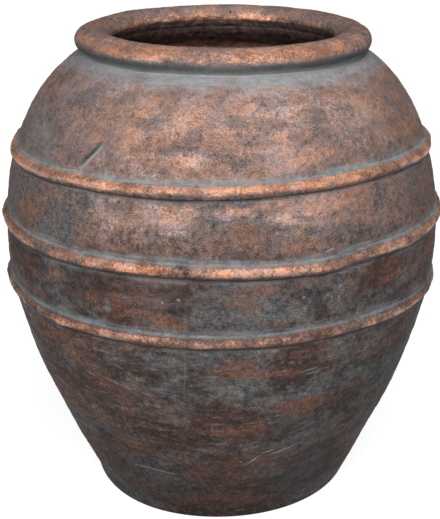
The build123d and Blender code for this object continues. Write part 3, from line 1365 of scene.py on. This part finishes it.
@dataclass
class Patina:
    """Copper rubbed over dark clay, with wash in the hollows, painted shade and painted highlight: one node
    group for all the finishes.
    """

    tones: PatinaTones
    bench: Bench = field(init=False)
    marks: dict[Mark, Socket] = field(init=False)
    patterns: dict[str, Socket] = field(init=False)
    opacity: float = 0.85
    covered_metal: float = 0.45
    rubbed_metal: float = 0.65
    clay_roughness: float = 0.67
    metal_polish: float = 0.36
    coat_change: Point = (0.43, 0.52)
    dust_fade: Point = (0.42, 0.33)
    bottom_darkening_rise: Point = (0.0, 0.30)
    calm_rise: Point = (0.55, 0.59)
    copper_change: Point = (0.41, 0.50)
    bright_rise: Point = (0.30, 0.52)
    # Heights of the painted shade and light bands inside the mouth
    throat_shade_rise: Point = (0.645, 0.660)
    under_lip_light_rise: Point = (0.686, 0.690)
    lip_edge_shade_rise: Point = (0.690, 0.697)

    def group(self) -> bpy.types.NodeTree:
        """Lays out the group.

        Returns:
            A group from the marks of the surface to its colour, metal, roughness and height.
        """
        tree = bpy.data.node_groups.new("copper_patina_and_painted_light", "ShaderNodeTree")
        for mark in Mark:
            tree.interface.new_socket(mark.value, in_out="INPUT", socket_type="NodeSocketFloat")
        tree.interface.new_socket("Colour", in_out="OUTPUT", socket_type="NodeSocketColor")
        for name in ("Metal", "Roughness", "Height"):
            tree.interface.new_socket(name, in_out="OUTPUT", socket_type="NodeSocketFloat")
        self.bench = Bench(tree)
        given = self.bench.put("NodeGroupInput").outputs
        self.marks = {mark: given[mark.value] for mark in Mark}
        self.patterns = self.drawn_patterns()
        covered = self.covered()
        rubbed = self.rubbed()
        washed = self.washed()
        colour = self.bench.blend(self.bench.times(covered, self.opacity), self.clay(), self.copper())
        colour = self.bench.blend(self.bench.times(rubbed, self.opacity), colour, self.burnished())
        colour = self.bench.blend(washed, self.tinted(colour), self.chalky())
        colour = self.aged_and_shaded(colour)
        metal = self.metal(covered, rubbed, washed)
        roughness = self.roughness(metal)
        sockets = {"Colour": colour, "Metal": metal, "Roughness": roughness, "Height": self.relief()}
        self.bench.put("NodeGroupOutput", sockets)
        return tree

    def drawn_patterns(self) -> dict[str, Socket]:
        """The uneven patterns that the layers are broken up by."""
        bench = self.bench
        place = bench.put("ShaderNodeTexCoord").outputs["Object"]
        brushed = bench.mapped(place, (1.0, 1.0, 2.2), (3.1, 0.7, 1.3))
        streaked = bench.mapped(place, (1.0, 1.0, 4.5), (7.9, 2.2, 5.6))
        dragged = bench.mapped(place, (1.0, 1.0, 7.0), (5.2, 9.1, 0.4))
        aside = bench.mapped(place, (1.0, 1.0, 1.4), (11.3, 8.5, 2.9))
        rough = bench.noise(place, 130.0, 4.0, 0.65)
        fleck = bench.noise(aside, 330.0, 3.0, 0.7)
        return {
            "broad": bench.noise(brushed, 6.0, 2.0),
            "patch": bench.noise(brushed, 24.0, 3.0, 0.52),
            "tint": bench.noise(aside, 36.0, 2.0),
            "rough": rough,
            "fleck": fleck,
            "mottle": bench.add(bench.times(rough, 0.65), bench.less(fleck, 0.325)),
            "grain": bench.noise(aside, 520.0, 2.0),
            "cloud": bench.noise(aside, 9.0, 4.0, 0.6),
            "streak": bench.noise(streaked, 8.0, 4.0, 0.6),
            "drag": bench.noise(dragged, 30.0, 5.0, 0.7),
            "height": bench.put("ShaderNodeSeparateXYZ", {0: place}).outputs["Z"],
        }

    def swing(self, name: str, size: float) -> Socket:
        """A pattern that swings evenly about 0."""
        return self.bench.times(self.bench.less(self.patterns[name], 0.5), size)

    def swings(self, **sizes: float) -> Socket:
        """Patterns that swing evenly about 0, each by its own size, added up."""
        return reduce(self.bench.add, [self.swing(name, size) for name, size in sizes.items()])

    def by_height(self, band: Point, end: float = 1.0) -> Socket:
        """A soft step from 0 at the first height of a band to its end at the second."""
        return self.bench.step(self.patterns["height"], *band, end)

    def lit(self, colour: Socket, light: Socket) -> Socket:
        """A colour made lighter or darker by a share."""
        grey = self.bench.put("ShaderNodeCombineColor", {0: light, 1: light, 2: light}).outputs[0]
        return self.bench.blend(1.0, colour, grey, "MULTIPLY")

    def clay(self) -> Socket:
        """The dark coat on the clay, with slate and russet in it."""
        bench, tones = self.bench, self.tones
        ragged = self.swings(patch=0.25, rough=0.12)
        cloud = bench.step(bench.add(self.patterns["cloud"], ragged), 0.38, 0.64)
        lean = bench.times(bench.less(self.marks[Mark.RUSSET], 0.5), 0.4)
        lean = bench.add(lean, self.swing("patch", 0.25))
        streak = bench.step(bench.add(self.patterns["streak"], lean), 0.40, 0.74, 0.9)
        low = bench.blend(streak, bench.blend(cloud, tones.umber, tones.slate), tones.russet)
        high = bench.blend(streak, bench.blend(cloud, tones.haze, tones.mist), tones.rust)
        colour = bench.blend(self.by_height(self.coat_change, 0.9), low, high)
        dusty = bench.step(bench.add(self.patterns["drag"], self.swing("rough", 0.35)), 0.53, 0.76, 0.6)
        dusty = bench.most(dusty, bench.step(self.patterns["fleck"], 0.60, 0.78, 0.6))
        dusty = bench.times(dusty, self.by_height(self.dust_fade))
        colour = bench.blend(dusty, colour, tones.dust)
        light = bench.add(self.swings(grain=2.0, rough=2.4), 1.0)
        # Darker towards the bottom
        bottom_darkening = bench.add(self.by_height(self.bottom_darkening_rise, 0.62), 0.60)
        light = bench.times(light, bottom_darkening)
        return self.lit(colour, light)

    def covered(self) -> Socket:
        """Where copper covers the clay, fleck by fleck."""
        bench = self.bench
        drift = self.swings(patch=2.6, broad=1.5)
        drift = bench.times(drift, bench.step(self.marks[Mark.COPPER], 0.0, 0.40))
        calm = bench.less(1.0, self.by_height(self.calm_rise, 0.65))
        drift = bench.times(drift, calm)
        cover = bench.add(self.marks[Mark.COPPER], drift)
        bar = bench.less(0.76, bench.times(cover, 0.48))
        return bench.step(self.patterns["mottle"], bench.less(bar, 0.28), bench.add(bar, 0.28))

    def copper(self) -> Socket:
        """The copper itself, dull to bright."""
        bench, tones = self.bench, self.tones
        dull = bench.blend(self.by_height(self.copper_change), tones.faded_copper, tones.dull_copper)
        hue = bench.step(self.patterns["broad"], 0.44, 0.58)
        fresh = bench.blend(hue, tones.pink_copper, tones.orange_copper)
        eager = bench.times(bench.less(self.marks[Mark.COPPER], 0.6), 0.45)
        bright = bench.step(bench.add(self.patterns["mottle"], eager), 0.40, 0.85)
        bright = bench.times(bright, bench.step(self.patterns["patch"], 0.34, 0.60))
        bright = bench.times(bright, self.by_height(self.bright_rise))
        return bench.blend(bright, dull, fresh)

    def rubbed(self) -> Socket:
        """Where a cloth rubbed the copper bright, laid partly as painted highlight."""
        bench = self.bench
        broken = self.swings(patch=1.3, mottle=0.9)
        rub_and_highlight = bench.add(self.marks[Mark.RUB_AND_HIGHLIGHT], broken)
        return bench.times(bench.step(rub_and_highlight, 0.25, 0.85), bench.step(self.marks[Mark.RUB_AND_HIGHLIGHT], 0.0, 0.3))

    def burnished(self) -> Socket:
        """The rubbed copper itself, deep in its hollows and pale on its grain."""
        uneven = self.swings(patch=2.0, mottle=1.6)
        grain = self.bench.step(uneven, -0.36, 0.42)
        return self.bench.blend(grain, self.tones.deep_copper, self.tones.rubbed_copper)

    def tinted(self, colour: Socket) -> Socket:
        """Warms a colour in some places, cools and darkens it in others, and gives it a fine grain."""
        bench = self.bench
        cloud = bench.step(self.patterns["tint"], 0.36, 0.64)
        colour = bench.blend(1.0, colour, bench.blend(cloud, self.tones.cool, self.tones.warm), "MULTIPLY")
        return self.lit(colour, bench.add(self.swing("grain", 1.0), 1.0))

    def washed(self) -> Socket:
        """Where pale wash lies, broken at its edges."""
        bench = self.bench
        broken = self.swings(patch=1.4, drag=1.2, mottle=-1.1)
        wash = bench.step(bench.add(self.marks[Mark.WASH], broken), 0.20, 1.10, 0.9)
        return bench.times(wash, bench.step(self.marks[Mark.WASH], 0.0, 0.25))

    def chalky(self) -> Socket:
        """The wash itself, thin in its drags and thick between them."""
        thick = self.swings(drag=1.0, rough=1.0)
        return self.bench.blend(self.bench.step(thick, -0.28, 0.20), self.tones.thin_wash, self.tones.wash)

    def aged_and_shaded(self, colour: Socket) -> Socket:
        """Adds dark pores, chalky scratches, painted shade in hollows and creases, and the dark inside with
        its painted light and shade bands, to a colour.
        """
        bench, tones = self.bench, self.tones
        pores = bench.less(0.2, bench.step(self.patterns["rough"], 0.26, 0.42, 0.2))
        colour = bench.blend(pores, colour, tones.pore)
        colour = bench.blend(bench.times(self.marks[Mark.CHALK], 0.8), colour, tones.chalk)
        # Painted shade where the shade mark lies
        colour = bench.blend(bench.times(self.marks[Mark.SHADE], 0.85), colour, tones.shade)
        dark = bench.blend(bench.step(self.patterns["patch"], 0.42, 0.66, 0.3), tones.inside, tones.umber)
        # Painted shade and light by height inside the mouth
        bands = (self.throat_shade_rise, self.under_lip_light_rise, self.lip_edge_shade_rise)
        for band, tone in zip(bands, (tones.throat, tones.under_lip_light, tones.lip_edge_shade)):
            dark = bench.blend(self.by_height(band), dark, tone)
        crumbs = self.swings(rough=3.0, patch=2.0)
        dark = self.lit(dark, bench.add(crumbs, 1.0))
        return bench.blend(self.marks[Mark.INSIDE], colour, dark)

    def metal(self, covered: Any, rubbed: Any, washed: Any) -> Socket:
        """How metallic the surface is, most where copper is rubbed and bare."""
        bench = self.bench
        metal = bench.most(bench.times(covered, self.covered_metal), bench.times(rubbed, self.rubbed_metal))
        dull = bench.most(washed, self.marks[Mark.INSIDE])
        dull = bench.most(dull, self.marks[Mark.SHADE])
        return bench.times(metal, bench.less(1.0, dull))

    def roughness(self, metal: Any) -> Socket:
        """Satin on copper, duller on clay and wash."""
        return self.bench.less(self.clay_roughness, self.bench.times(metal, self.metal_polish))

    def relief(self) -> Socket:
        """Height of the grain in the surface."""
        return self.swings(fleck=1.2, rough=1.3, drag=0.6)


@dataclass(frozen=True)
class Finish:
    """A finish of the jar: the shared patina with its own depth of grain."""

    slot: Slot
    relief: float = 0.0014
    strength: float = 0.9
    gloss: float = 0.1

    def material(self, patina: bpy.types.NodeTree) -> bpy.types.Material:
        """Makes the finish from the marks of the surface.

        Args:
            patina: The shared patina group.

        Returns:
            The material.
        """
        material, bench, shader = new_material(self.slot.value)
        links = material.node_tree.links
        shader.inputs["Specular IOR Level"].default_value = self.gloss
        made = bench.put("ShaderNodeGroup", node_tree=patina)
        for mark in Mark:
            layer = bench.put("ShaderNodeAttribute", attribute_name=mark.value)
            links.new(layer.outputs["Fac"], made.inputs[mark.value])
        sockets = {"Height": made.outputs["Height"], "Distance": self.relief, "Strength": self.strength}
        bump = bench.put("ShaderNodeBump", sockets)
        for source, target in (("Colour", "Base Color"), ("Metal", "Metallic"), ("Roughness", "Roughness")):
            links.new(made.outputs[source], shader.inputs[target])
        links.new(bump.outputs["Normal"], shader.inputs["Normal"])
        return material


@dataclass(frozen=True)
class SoftBox:
    """A large soft lamp that is aimed at the jar."""

    name: str
    place: Triple
    aim: Triple
    width: float
    height: float
    power: float

    def hang(self) -> None:
        """Puts the lamp in the scene."""
        lamp = bpy.data.lights.new(self.name, "AREA")
        lamp.shape = "RECTANGLE"
        lamp.size = self.width
        lamp.size_y = self.height
        lamp.energy = self.power
        box = placed(self.name, lamp)
        box.location = self.place
        box.rotation_euler = (Vector(self.aim) - Vector(self.place)).to_track_quat("-Z", "Y").to_euler()


@dataclass
class Studio:
    """Floor, lamps, surrounding light and camera."""

    camera_place: Triple = (0.0, -1.6741, 0.9960)
    camera_tilt: float = 68.82
    lens: float = 77.6
    shift: float = -0.0032
    floor_size: float = 600.0
    floor_tone: float = 0.32
    floor_roughness: float = 0.9
    floor_glow: float = 0.86
    room_glow: float = 1.0
    glow_rise: Point = (0.5, 1.5)
    fill: float = 0.06
    lamps: tuple[SoftBox, ...] = (
        SoftBox("front_lamp", (-0.12, -2.7, 2.35), (0.0, 0.0, 0.45), 2.4, 1.5, 102.0),
        SoftBox("side_lamp", (-1.5, -2.2, 1.9), (0.0, 0.0, 0.45), 1.2, 1.2, 9.0),
        SoftBox("top_lamp", (0.5, -0.4, 2.7), (0.0, 0.0, 0.5), 1.6, 1.6, 22.0),
    )

    def build(self) -> None:
        """Sets up the whole studio."""
        self.lay_floor()
        self.fill_room()
        for lamp in self.lamps:
            lamp.hang()
        self.place_camera()
        bpy.context.scene.view_settings.view_transform = "Standard"

    def seen(self, bench: Bench) -> Socket:
        """1 for rays that see the floor itself, in the picture or in a reflection."""
        path = bench.put("ShaderNodeLightPath").outputs
        seen = bench.most(path["Is Camera Ray"], path["Is Glossy Ray"])
        return bench.most(seen, path["Is Transmission Ray"])

    def lay_floor(self) -> None:
        """Lays a pale floor that looks white and keeps the jar's shadow."""
        sheet = bmesh.new()
        bmesh.ops.create_grid(sheet, x_segments=1, y_segments=1, size=self.floor_size / 2)
        mesh = bpy.data.meshes.new("floor")
        sheet.to_mesh(mesh)
        sheet.free()
        material, bench, shader = new_material("pale_floor")
        shader.inputs["Base Color"].default_value = (self.floor_tone,) * 3 + (1.0,)
        shader.inputs["Roughness"].default_value = self.floor_roughness
        shader.inputs["Emission Color"].default_value = (1.0, 1.0, 1.0, 1.0)
        place = bench.put("ShaderNodeTexCoord").outputs["Object"]
        far = bench.put("ShaderNodeVectorMath", {0: place}, operation="LENGTH").outputs["Value"]
        glow = bench.step(far, *self.glow_rise, self.room_glow - self.floor_glow)
        glow = bench.times(self.seen(bench), bench.add(glow, self.floor_glow))
        material.node_tree.links.new(glow, shader.inputs["Emission Strength"])
        mesh.materials.append(material)
        floor = placed("floor", mesh)

    def fill_room(self) -> None:
        """Gives the room an even, neutral light."""
        world = bpy.data.worlds.new("room")
        world.use_nodes = True
        world.node_tree.nodes["Background"].inputs["Color"].default_value = (self.fill,) * 3 + (1.0,)
        bpy.context.scene.world = world

    def place_camera(self) -> None:
        """Stands the camera where the photograph was taken."""
        camera = bpy.data.cameras.new("camera")
        camera.lens = self.lens
        camera.shift_x = self.shift
        stand = placed("camera", camera)
        stand.location = self.camera_place
        stand.rotation_euler = (radians(self.camera_tilt), 0.0, 0.0)
        bpy.context.scene.camera = stand


@dataclass
class Pithos:
    """The whole jar."""

    outline: WallOutline = field(default_factory=WallOutline)
    climbs: Triple = (0.81, 1.15, 1.80)
    coppers: Triple = (0.46, 0.64, 0.86)
    wander_seed: int = 80
    swelling_seed: int = 90
    rim_strength: float = 0.8
    bends: tuple[tuple[Bend, ...], ...] = (
        (
            Bend(-44.75, 0.9, swell=-0.4),
            Bend(-7.75, 0.6, swell=-0.2),
            Bend(14.0, 6.0, -0.0012, 0.1),
            Bend(85.0, 32.0, -0.0105, -0.3),
        ),
        (
            Bend(-7.75, 0.6, swell=-0.15),
            Bend(24.5, 4.0, -0.0008, 0.16),
            Bend(31.0, 3.0, 0.0, -0.3),
            Bend(38.0, 5.0, 0.0016, 0.08),
            Bend(85.0, 35.0, -0.0085),
        ),
        (
            Bend(-38.0, 5.0, 0.0015, 0.12),
            Bend(-6.25, 0.6, swell=-0.15),
            Bend(28.5, 0.6, swell=-0.12),
            Bend(85.0, 45.0, -0.0125),
        ),
    )
    pinholes: tuple[tuple[Point, ...], ...] = (((26.0, 0.0022),), (), ())
    # Rubbed copper round each coil, partly painted highlight
    coil_rubs_and_highlights: tuple[tuple[Bend, ...], ...] = (
        (Bend(2.0, 9.0, swell=-0.15), Bend(24.0, 9.0, swell=-0.12), Bend(-42.0, 10.0, swell=0.12)),
        (Bend(0.0, 12.0, swell=-0.22), Bend(-20.0, 8.0, swell=0.35), Bend(-43.0, 11.0, swell=-0.3)),
        (Bend(0.0, 12.0, swell=-0.22), Bend(22.0, 9.0, swell=0.1)),
    )
    marks: tuple[Pit | Stroke, ...] = (
        Stroke(
            ((-38.5, 0.5689), (-37.0, 0.5816), (-34.75, 0.5953), (-33.0, 0.6060)),
            0.0062,
            0.0045,
            lean=-0.6,
            wash=1.0,
            shade=1.0,
        ),
        Stroke(((-33.2, 0.6050), (-31.5, 0.6148), (-29.5, 0.6236)), 0.0014, 0.0004, wash=0.35),
        Stroke(((-34.75, 0.5396), (-34.25, 0.5270)), 0.0013, 0.0012, shade=0.9),
        Stroke(((22.9, 0.5222), (23.8, 0.5240), (24.8, 0.5258)), 0.0016, 0.0013, shade=0.85),
        Stroke(((26.9, 0.5180), (27.5, 0.5211), (28.4, 0.5245)), 0.0015, 0.0013, shade=0.85),
        Stroke(((24.5, 0.4743), (27.0, 0.4782)), 0.0015, 0.0006, wash=0.9),
        Stroke(((21.25, 0.2938), (25.75, 0.2948)), 0.0016, 0.0006, wash=0.8),
        Stroke(((-32.5, 0.0977), (-25.25, 0.1006), (-13.25, 0.0986)), 0.0012, 0.0005, wash=0.75),
        Stroke(((7.5, 0.1240), (12.5, 0.1455)), 0.0014, 0.0006, wash=0.9),
        Stroke(((11.5, 0.1470), (16.5, 0.1543)), 0.0012, 0.0005, wash=0.9),
        Stroke(((14.5, 0.1430), (19.0, 0.1490), (25.5, 0.1601)), 0.0012, 0.0005, wash=0.8),
        Stroke(((-8.5, 0.3406), (-8.8, 0.3074), (-9.5, 0.2645)), 0.0010, 0.0005, wash=0.25),
        Stroke(((-57.2, 0.6401), (-55.0, 0.6528)), 0.0022, 0.0008, wash=0.45),
        Stroke(((-54.2, 0.5836), (-50.7, 0.5992)), 0.0020, 0.0008, wash=0.50),
        Stroke(((-52.7, 0.5757), (-47.7, 0.5884)), 0.0018, 0.0007, wash=0.45),
        Stroke(((19.5, 0.2987), (24.5, 0.3035)), 0.0020, 0.0007, wash=0.45),
        Stroke(((-28.2, 0.3035), (-25.0, 0.2957)), 0.0018, 0.0006, wash=0.40),
        Stroke(((-34.7, 0.2772), (-24.7, 0.2645)), 0.0016, 0.0006, wash=0.35),
        Pit(50.0, 0.5855, 0.0030, 0.0024),
        Pit(29.75, 0.3074, 0.0020, 0.0016),
        Pit(58.0, 0.6790, 0.0022, 0.0018),
        Pit(61.0, 0.6733, 0.0020, 0.0016),
        Pit(54.0, 0.6760, 0.0017, 0.0014),
        Pit(64.0, 0.6640, 0.0019, 0.0015),
        Pit(47.0, 0.6810, 0.0016, 0.0014),
        Pit(35.0, 0.2869, 0.0018, 0.0008, 0.6, 0.0),
        Pit(28.5, 0.4226, 0.0020, 0.0008, 0.6, 0.0),
        Pit(19.0, 0.4157, 0.0020, 0.0008, 0.6, 0.0),
        Pit(-13.5, 0.4118, 0.0019, 0.0008, 0.6, 0.0),
        Pit(-9.75, 0.4177, 0.0019, 0.0008, 0.7, 0.0),
        Pit(-9.0, 0.2150, 0.0018, 0.0008, 0.6, 0.0),
        Pit(6.0, 0.1330, 0.0018, 0.0008, 0.8, 0.0),
    )
    # The large copper-poor patches at -66 and 68 degrees darken the jar's sides, partly less copper and partly
    # painted shade; shade shares paint the wall darker in places
    patches: tuple[Patch, ...] = (
        Patch(-66.0, 0.5200, 0.130, 0.090, -0.70, 0.0),
        Patch(-42.0, 0.6050, 0.070, 0.030, 0.12, 0.0, 0.22),
        Patch(45.0, 0.6200, 0.080, 0.040, 0.10, 0.0, 0.36),
        Patch(68.0, 0.5150, 0.120, 0.075, -0.55, 0.15),
        Patch(-57.0, 0.6600, 0.080, 0.034, -0.10, 0.0, 0.44),
        Patch(-22.5, 0.6226, 0.045, 0.020, 0.30),
        Patch(-26.0, 0.5875, 0.030, 0.016, 0.30),
        Patch(-11.75, 0.5943, 0.032, 0.014, 0.38),
        Patch(-5.5, 0.5930, 0.018, 0.012, 0.35),
        Patch(-17.75, 0.6079, 0.024, 0.012, -0.50),
        Patch(-9.5, 0.6089, 0.026, 0.012, -0.45),
        Patch(-65.0, 0.5960, 0.100, 0.046, -0.10, -0.20, 0.58),
        Patch(15.5, 0.5935, 0.045, 0.016, 0.42),
        Patch(13.5, 0.6089, 0.040, 0.014, 0.25),
        Patch(27.75, 0.6140, 0.030, 0.012, -0.30),
        Patch(27.75, 0.5790, 0.030, 0.010, -0.50),
        Patch(0.5, 0.5960, 0.026, 0.014, -0.50),
        Patch(5.25, 0.6290, 0.030, 0.012, -0.15),
        Patch(-22.75, 0.5123, 0.045, 0.020, 0.38),
        Patch(-30.75, 0.5318, 0.030, 0.016, 0.25),
        Patch(-10.75, 0.5182, 0.040, 0.022, 0.38),
        Patch(-16.0, 0.5338, 0.040, 0.014, 0.28),
        Patch(-4.25, 0.5104, 0.022, 0.020, -0.55),
        Patch(-11.0, 0.4811, 0.040, 0.012, -0.55),
        Patch(-15.75, 0.5075, 0.018, 0.012, -0.45),
        Patch(-42.0, 0.5000, 0.036, 0.028, -0.50, -0.20, 0.0, 0.26),
        Patch(-49.75, 0.5006, 0.030, 0.022, -0.05, 0.45),
        Patch(12.5, 0.5320, 0.042, 0.014, 0.55),
        Patch(23.5, 0.5387, 0.035, 0.012, 0.48),
        Patch(27.0, 0.5200, 0.040, 0.018, 0.48),
        Patch(0.5, 0.5240, 0.016, 0.018, 0.30),
        Patch(7.5, 0.5090, 0.024, 0.011, -0.55, 0.0, 0.0, 0.24),
        Patch(32.0, 0.4938, 0.038, 0.016, -0.55, -0.30),
        Patch(7.5, 0.4821, 0.040, 0.012, -0.45),
        Patch(4.25, 0.5190, 0.014, 0.014, -0.55),
        Patch(20.75, 0.4850, 0.036, 0.016, -0.05, 0.40),
        Patch(-12.75, 0.6470, 0.040, 0.014, 0.20),
        Patch(7.75, 0.6421, 0.040, 0.014, 0.22),
        Patch(-32.0, 0.6577, 0.035, 0.014, 0.20),
        Patch(20.25, 0.6509, 0.032, 0.012, 0.10),
        Patch(-47.75, 0.6460, 0.030, 0.012, -0.40),
        Patch(46.25, 0.6382, 0.030, 0.020, 0.20),
        Patch(-20.0, 0.2320, 0.060, 0.012, 0.02, 0.45),
        Patch(22.0, 0.2320, 0.050, 0.014, 0.05, 0.50),
        Patch(8.0, 0.2000, 0.040, 0.014, 0.03, 0.45),
        Patch(5.0, 0.3150, 0.026, 0.018, 0.05, 0.55),
        Patch(10.0, 0.1350, 0.040, 0.018, 0.05, 0.50),
        Patch(-15.0, 0.3800, 0.060, 0.014, 0.03, 0.35),
        Patch(-7.25, 0.4040, 0.040, 0.020, -0.05, -0.45),
        Patch(14.0, 0.4100, 0.035, 0.018, -0.05, -0.40),
        Patch(5.5, 0.4110, 0.030, 0.014, 0.28, 0.0),
        Patch(-44.5, 0.3787, 0.060, 0.030, -0.05, -0.25),
        Patch(27.0, 0.2700, 0.050, 0.016, -0.05, -0.40),
        Patch(-13.0, 0.2720, 0.040, 0.018, -0.05, -0.45),
        Patch(29.0, 0.0900, 0.050, 0.030, -0.05, -0.40),
        Patch(-28.0, 0.1700, 0.050, 0.016, 0.03, 0.20),
        Patch(-20.0, 0.0600, 0.050, 0.012, 0.0, -0.40),
        Patch(0.0, 0.0500, 0.060, 0.010, 0.02, 0.45),
        Patch(-35.6, 0.3960, 0.007, 0.020, 0.0, -0.20, 0.60),
        Patch(-27.6, 0.3930, 0.006, 0.018, 0.0, -0.20, 0.65),
        Patch(-8.8, 0.3050, 0.006, 0.030, 0.0, -0.20, 0.40),
        Patch(-11.0, 0.3300, 0.040, 0.012, 0.0, -0.30, 0.40),
        Patch(-13.5, 0.2780, 0.034, 0.020, 0.0, -0.35, 0.46),
        Patch(-42.0, 0.1640, 0.026, 0.006, 0.0, 0.0, 0.42),
        Patch(-35.0, 0.1585, 0.022, 0.006, 0.0, 0.0, 0.42),
        Patch(-28.0, 0.1510, 0.022, 0.008, 0.0, 0.10, 0.45),
        Patch(-40.0, 0.2300, 0.040, 0.010, 0.0, 0.0, 0.28),
        Patch(-22.0, 0.3080, 0.055, 0.016, 0.0, 0.0, 0.48),
        Patch(18.0, 0.1400, 0.040, 0.010, 0.0, 0.0, 0.34),
        Patch(24.0, 0.3000, 0.030, 0.006, 0.0, -0.10, 0.40),
        Patch(52.0, 0.2500, 0.050, 0.030, 0.0, -0.20),
        Patch(50.0, 0.2300, 0.110, 0.090, 0.0, -0.20, 0.0, 0.34),
        Patch(62.0, 0.3300, 0.070, 0.040, 0.0, 0.0, 0.0, 0.22),
        Patch(34.0, 0.0950, 0.070, 0.050, 0.0, 0.10, 0.0, 0.42),
        Patch(21.0, 0.2000, 0.035, 0.020, 0.0, 0.0, 0.0, 0.42),
        Patch(25.0, 0.0680, 0.050, 0.026, 0.0, 0.10, 0.0, 0.42),
        Patch(-14.0, 0.0740, 0.050, 0.020, 0.0, 0.10, 0.0, 0.30),
        Patch(-13.0, 0.1640, 0.045, 0.014, 0.0, 0.0, 0.34),
        Patch(-20.0, 0.4190, 0.095, 0.018, 0.24, 0.0, 0.32),
        Patch(-0.5, 0.4090, 0.022, 0.014, 0.0, 0.0, 0.0, 0.38),
    )
    holes: tuple[RollHole, ...] = (
        RollHole(-102.0, 111.0),
        RollHole(-106.0, 124.0),
        RollHole(-137.5, 119.0),
        RollHole(176.5, 147.0, 0.0021, 0.0028),
    )
    # Rubbed copper round the rim, partly painted highlight: brighter at the front right and on the far inner
    # lip
    rubs_and_highlights: tuple[Bend, ...] = (
        Bend(24.0, 22.0, swell=0.45),
        Bend(-22.0, 16.0, swell=0.28),
        Bend(-42.0, 7.0, swell=0.25),
        Bend(-3.0, 8.0, swell=-0.08),
        Bend(58.0, 10.0, swell=0.10),
        Bend(90.0, 22.0, swell=-0.22),
        Bend(-90.0, 24.0, swell=-0.18),
        Bend(165.0, 22.0, swell=0.40),
        Bend(-172.0, 14.0, swell=0.25),
        Bend(-152.0, 12.0, swell=0.2),
    )

    def cordon_lines(self) -> tuple[CordonLine, ...]:
        """The lines of the three cordons, from the lowest up."""
        courses = ("upper_wall_course", "lower_belly_course", "upper_belly_course")
        return tuple(
            CordonLine(
                height=top_of(course),
                climb=climb,
                wander=Waves(length=0.35, height=0.0010, seed=self.wander_seed + count),
                swelling=Waves(length=0.10, height=0.07, seed=self.swelling_seed + count),
                bends=bends,
            )
            for count, (course, climb, bends) in enumerate(zip(courses, self.climbs, self.bends))
        )

    def rings(self) -> list[Ring]:
        """Every ring of clay, from the floor up."""
        hand = Handwork(self.outline, self.marks)
        lines = self.cordon_lines()
        rings: list[Ring] = [
            FloorSlab("floor_slab", Slot.FOOT, hand),
            SeamCoil("floor_seam_coil", Slot.INNER, hand),
        ]
        below = "floor_slab"
        courses = ("foot_course", "lower_wall_course", "upper_wall_course")
        courses += ("lower_belly_course", "upper_belly_course", "shoulder_course")
        shared = {"cordons": lines, "patches": self.patches}
        for name in courses:
            rings.append(WallCourse(name, Slot.WALL, hand, bottom=top_of(below), **shared))
            below = name
        rings.append(NeckCourse("neck_course", Slot.WALL, hand, bottom=top_of(below), **shared))
        rings.append(RimRoll("rim_roll", Slot.RIM, hand, holes=self.holes, rubs_and_highlights=self.rubs_and_highlights))
        names = ("lower_cordon", "middle_cordon", "upper_cordon")
        coils = zip(names, lines, self.coppers, self.coil_rubs_and_highlights, self.pinholes)
        for name, line, copper, rubs_and_highlights, pinholes in coils:
            marks = {"copper": copper, "rubs_and_highlights": rubs_and_highlights, "pinholes": pinholes}
            rings.append(Cordon(name, Slot.CORDON, hand, line=line, **marks))
        return rings

    def build(self) -> None:
        """Makes every ring and dresses it."""
        patina = Patina(PatinaTones()).group()
        finishes = {slot: Finish(slot) for slot in Slot}
        finishes[Slot.RIM] = Finish(Slot.RIM, strength=self.rim_strength)
        materials = {slot: finish.material(patina) for slot, finish in finishes.items()}
        for ring in self.rings():
            ring.build().data.materials.append(materials[ring.slot])


def main() -> None:
    """Builds the jar, then the studio round it."""
    logging.basicConfig(level=logging.INFO, format="%(name)s: %(message)s")
    Pithos().build()
    Studio().build()


if __name__ == "__main__":
    main()
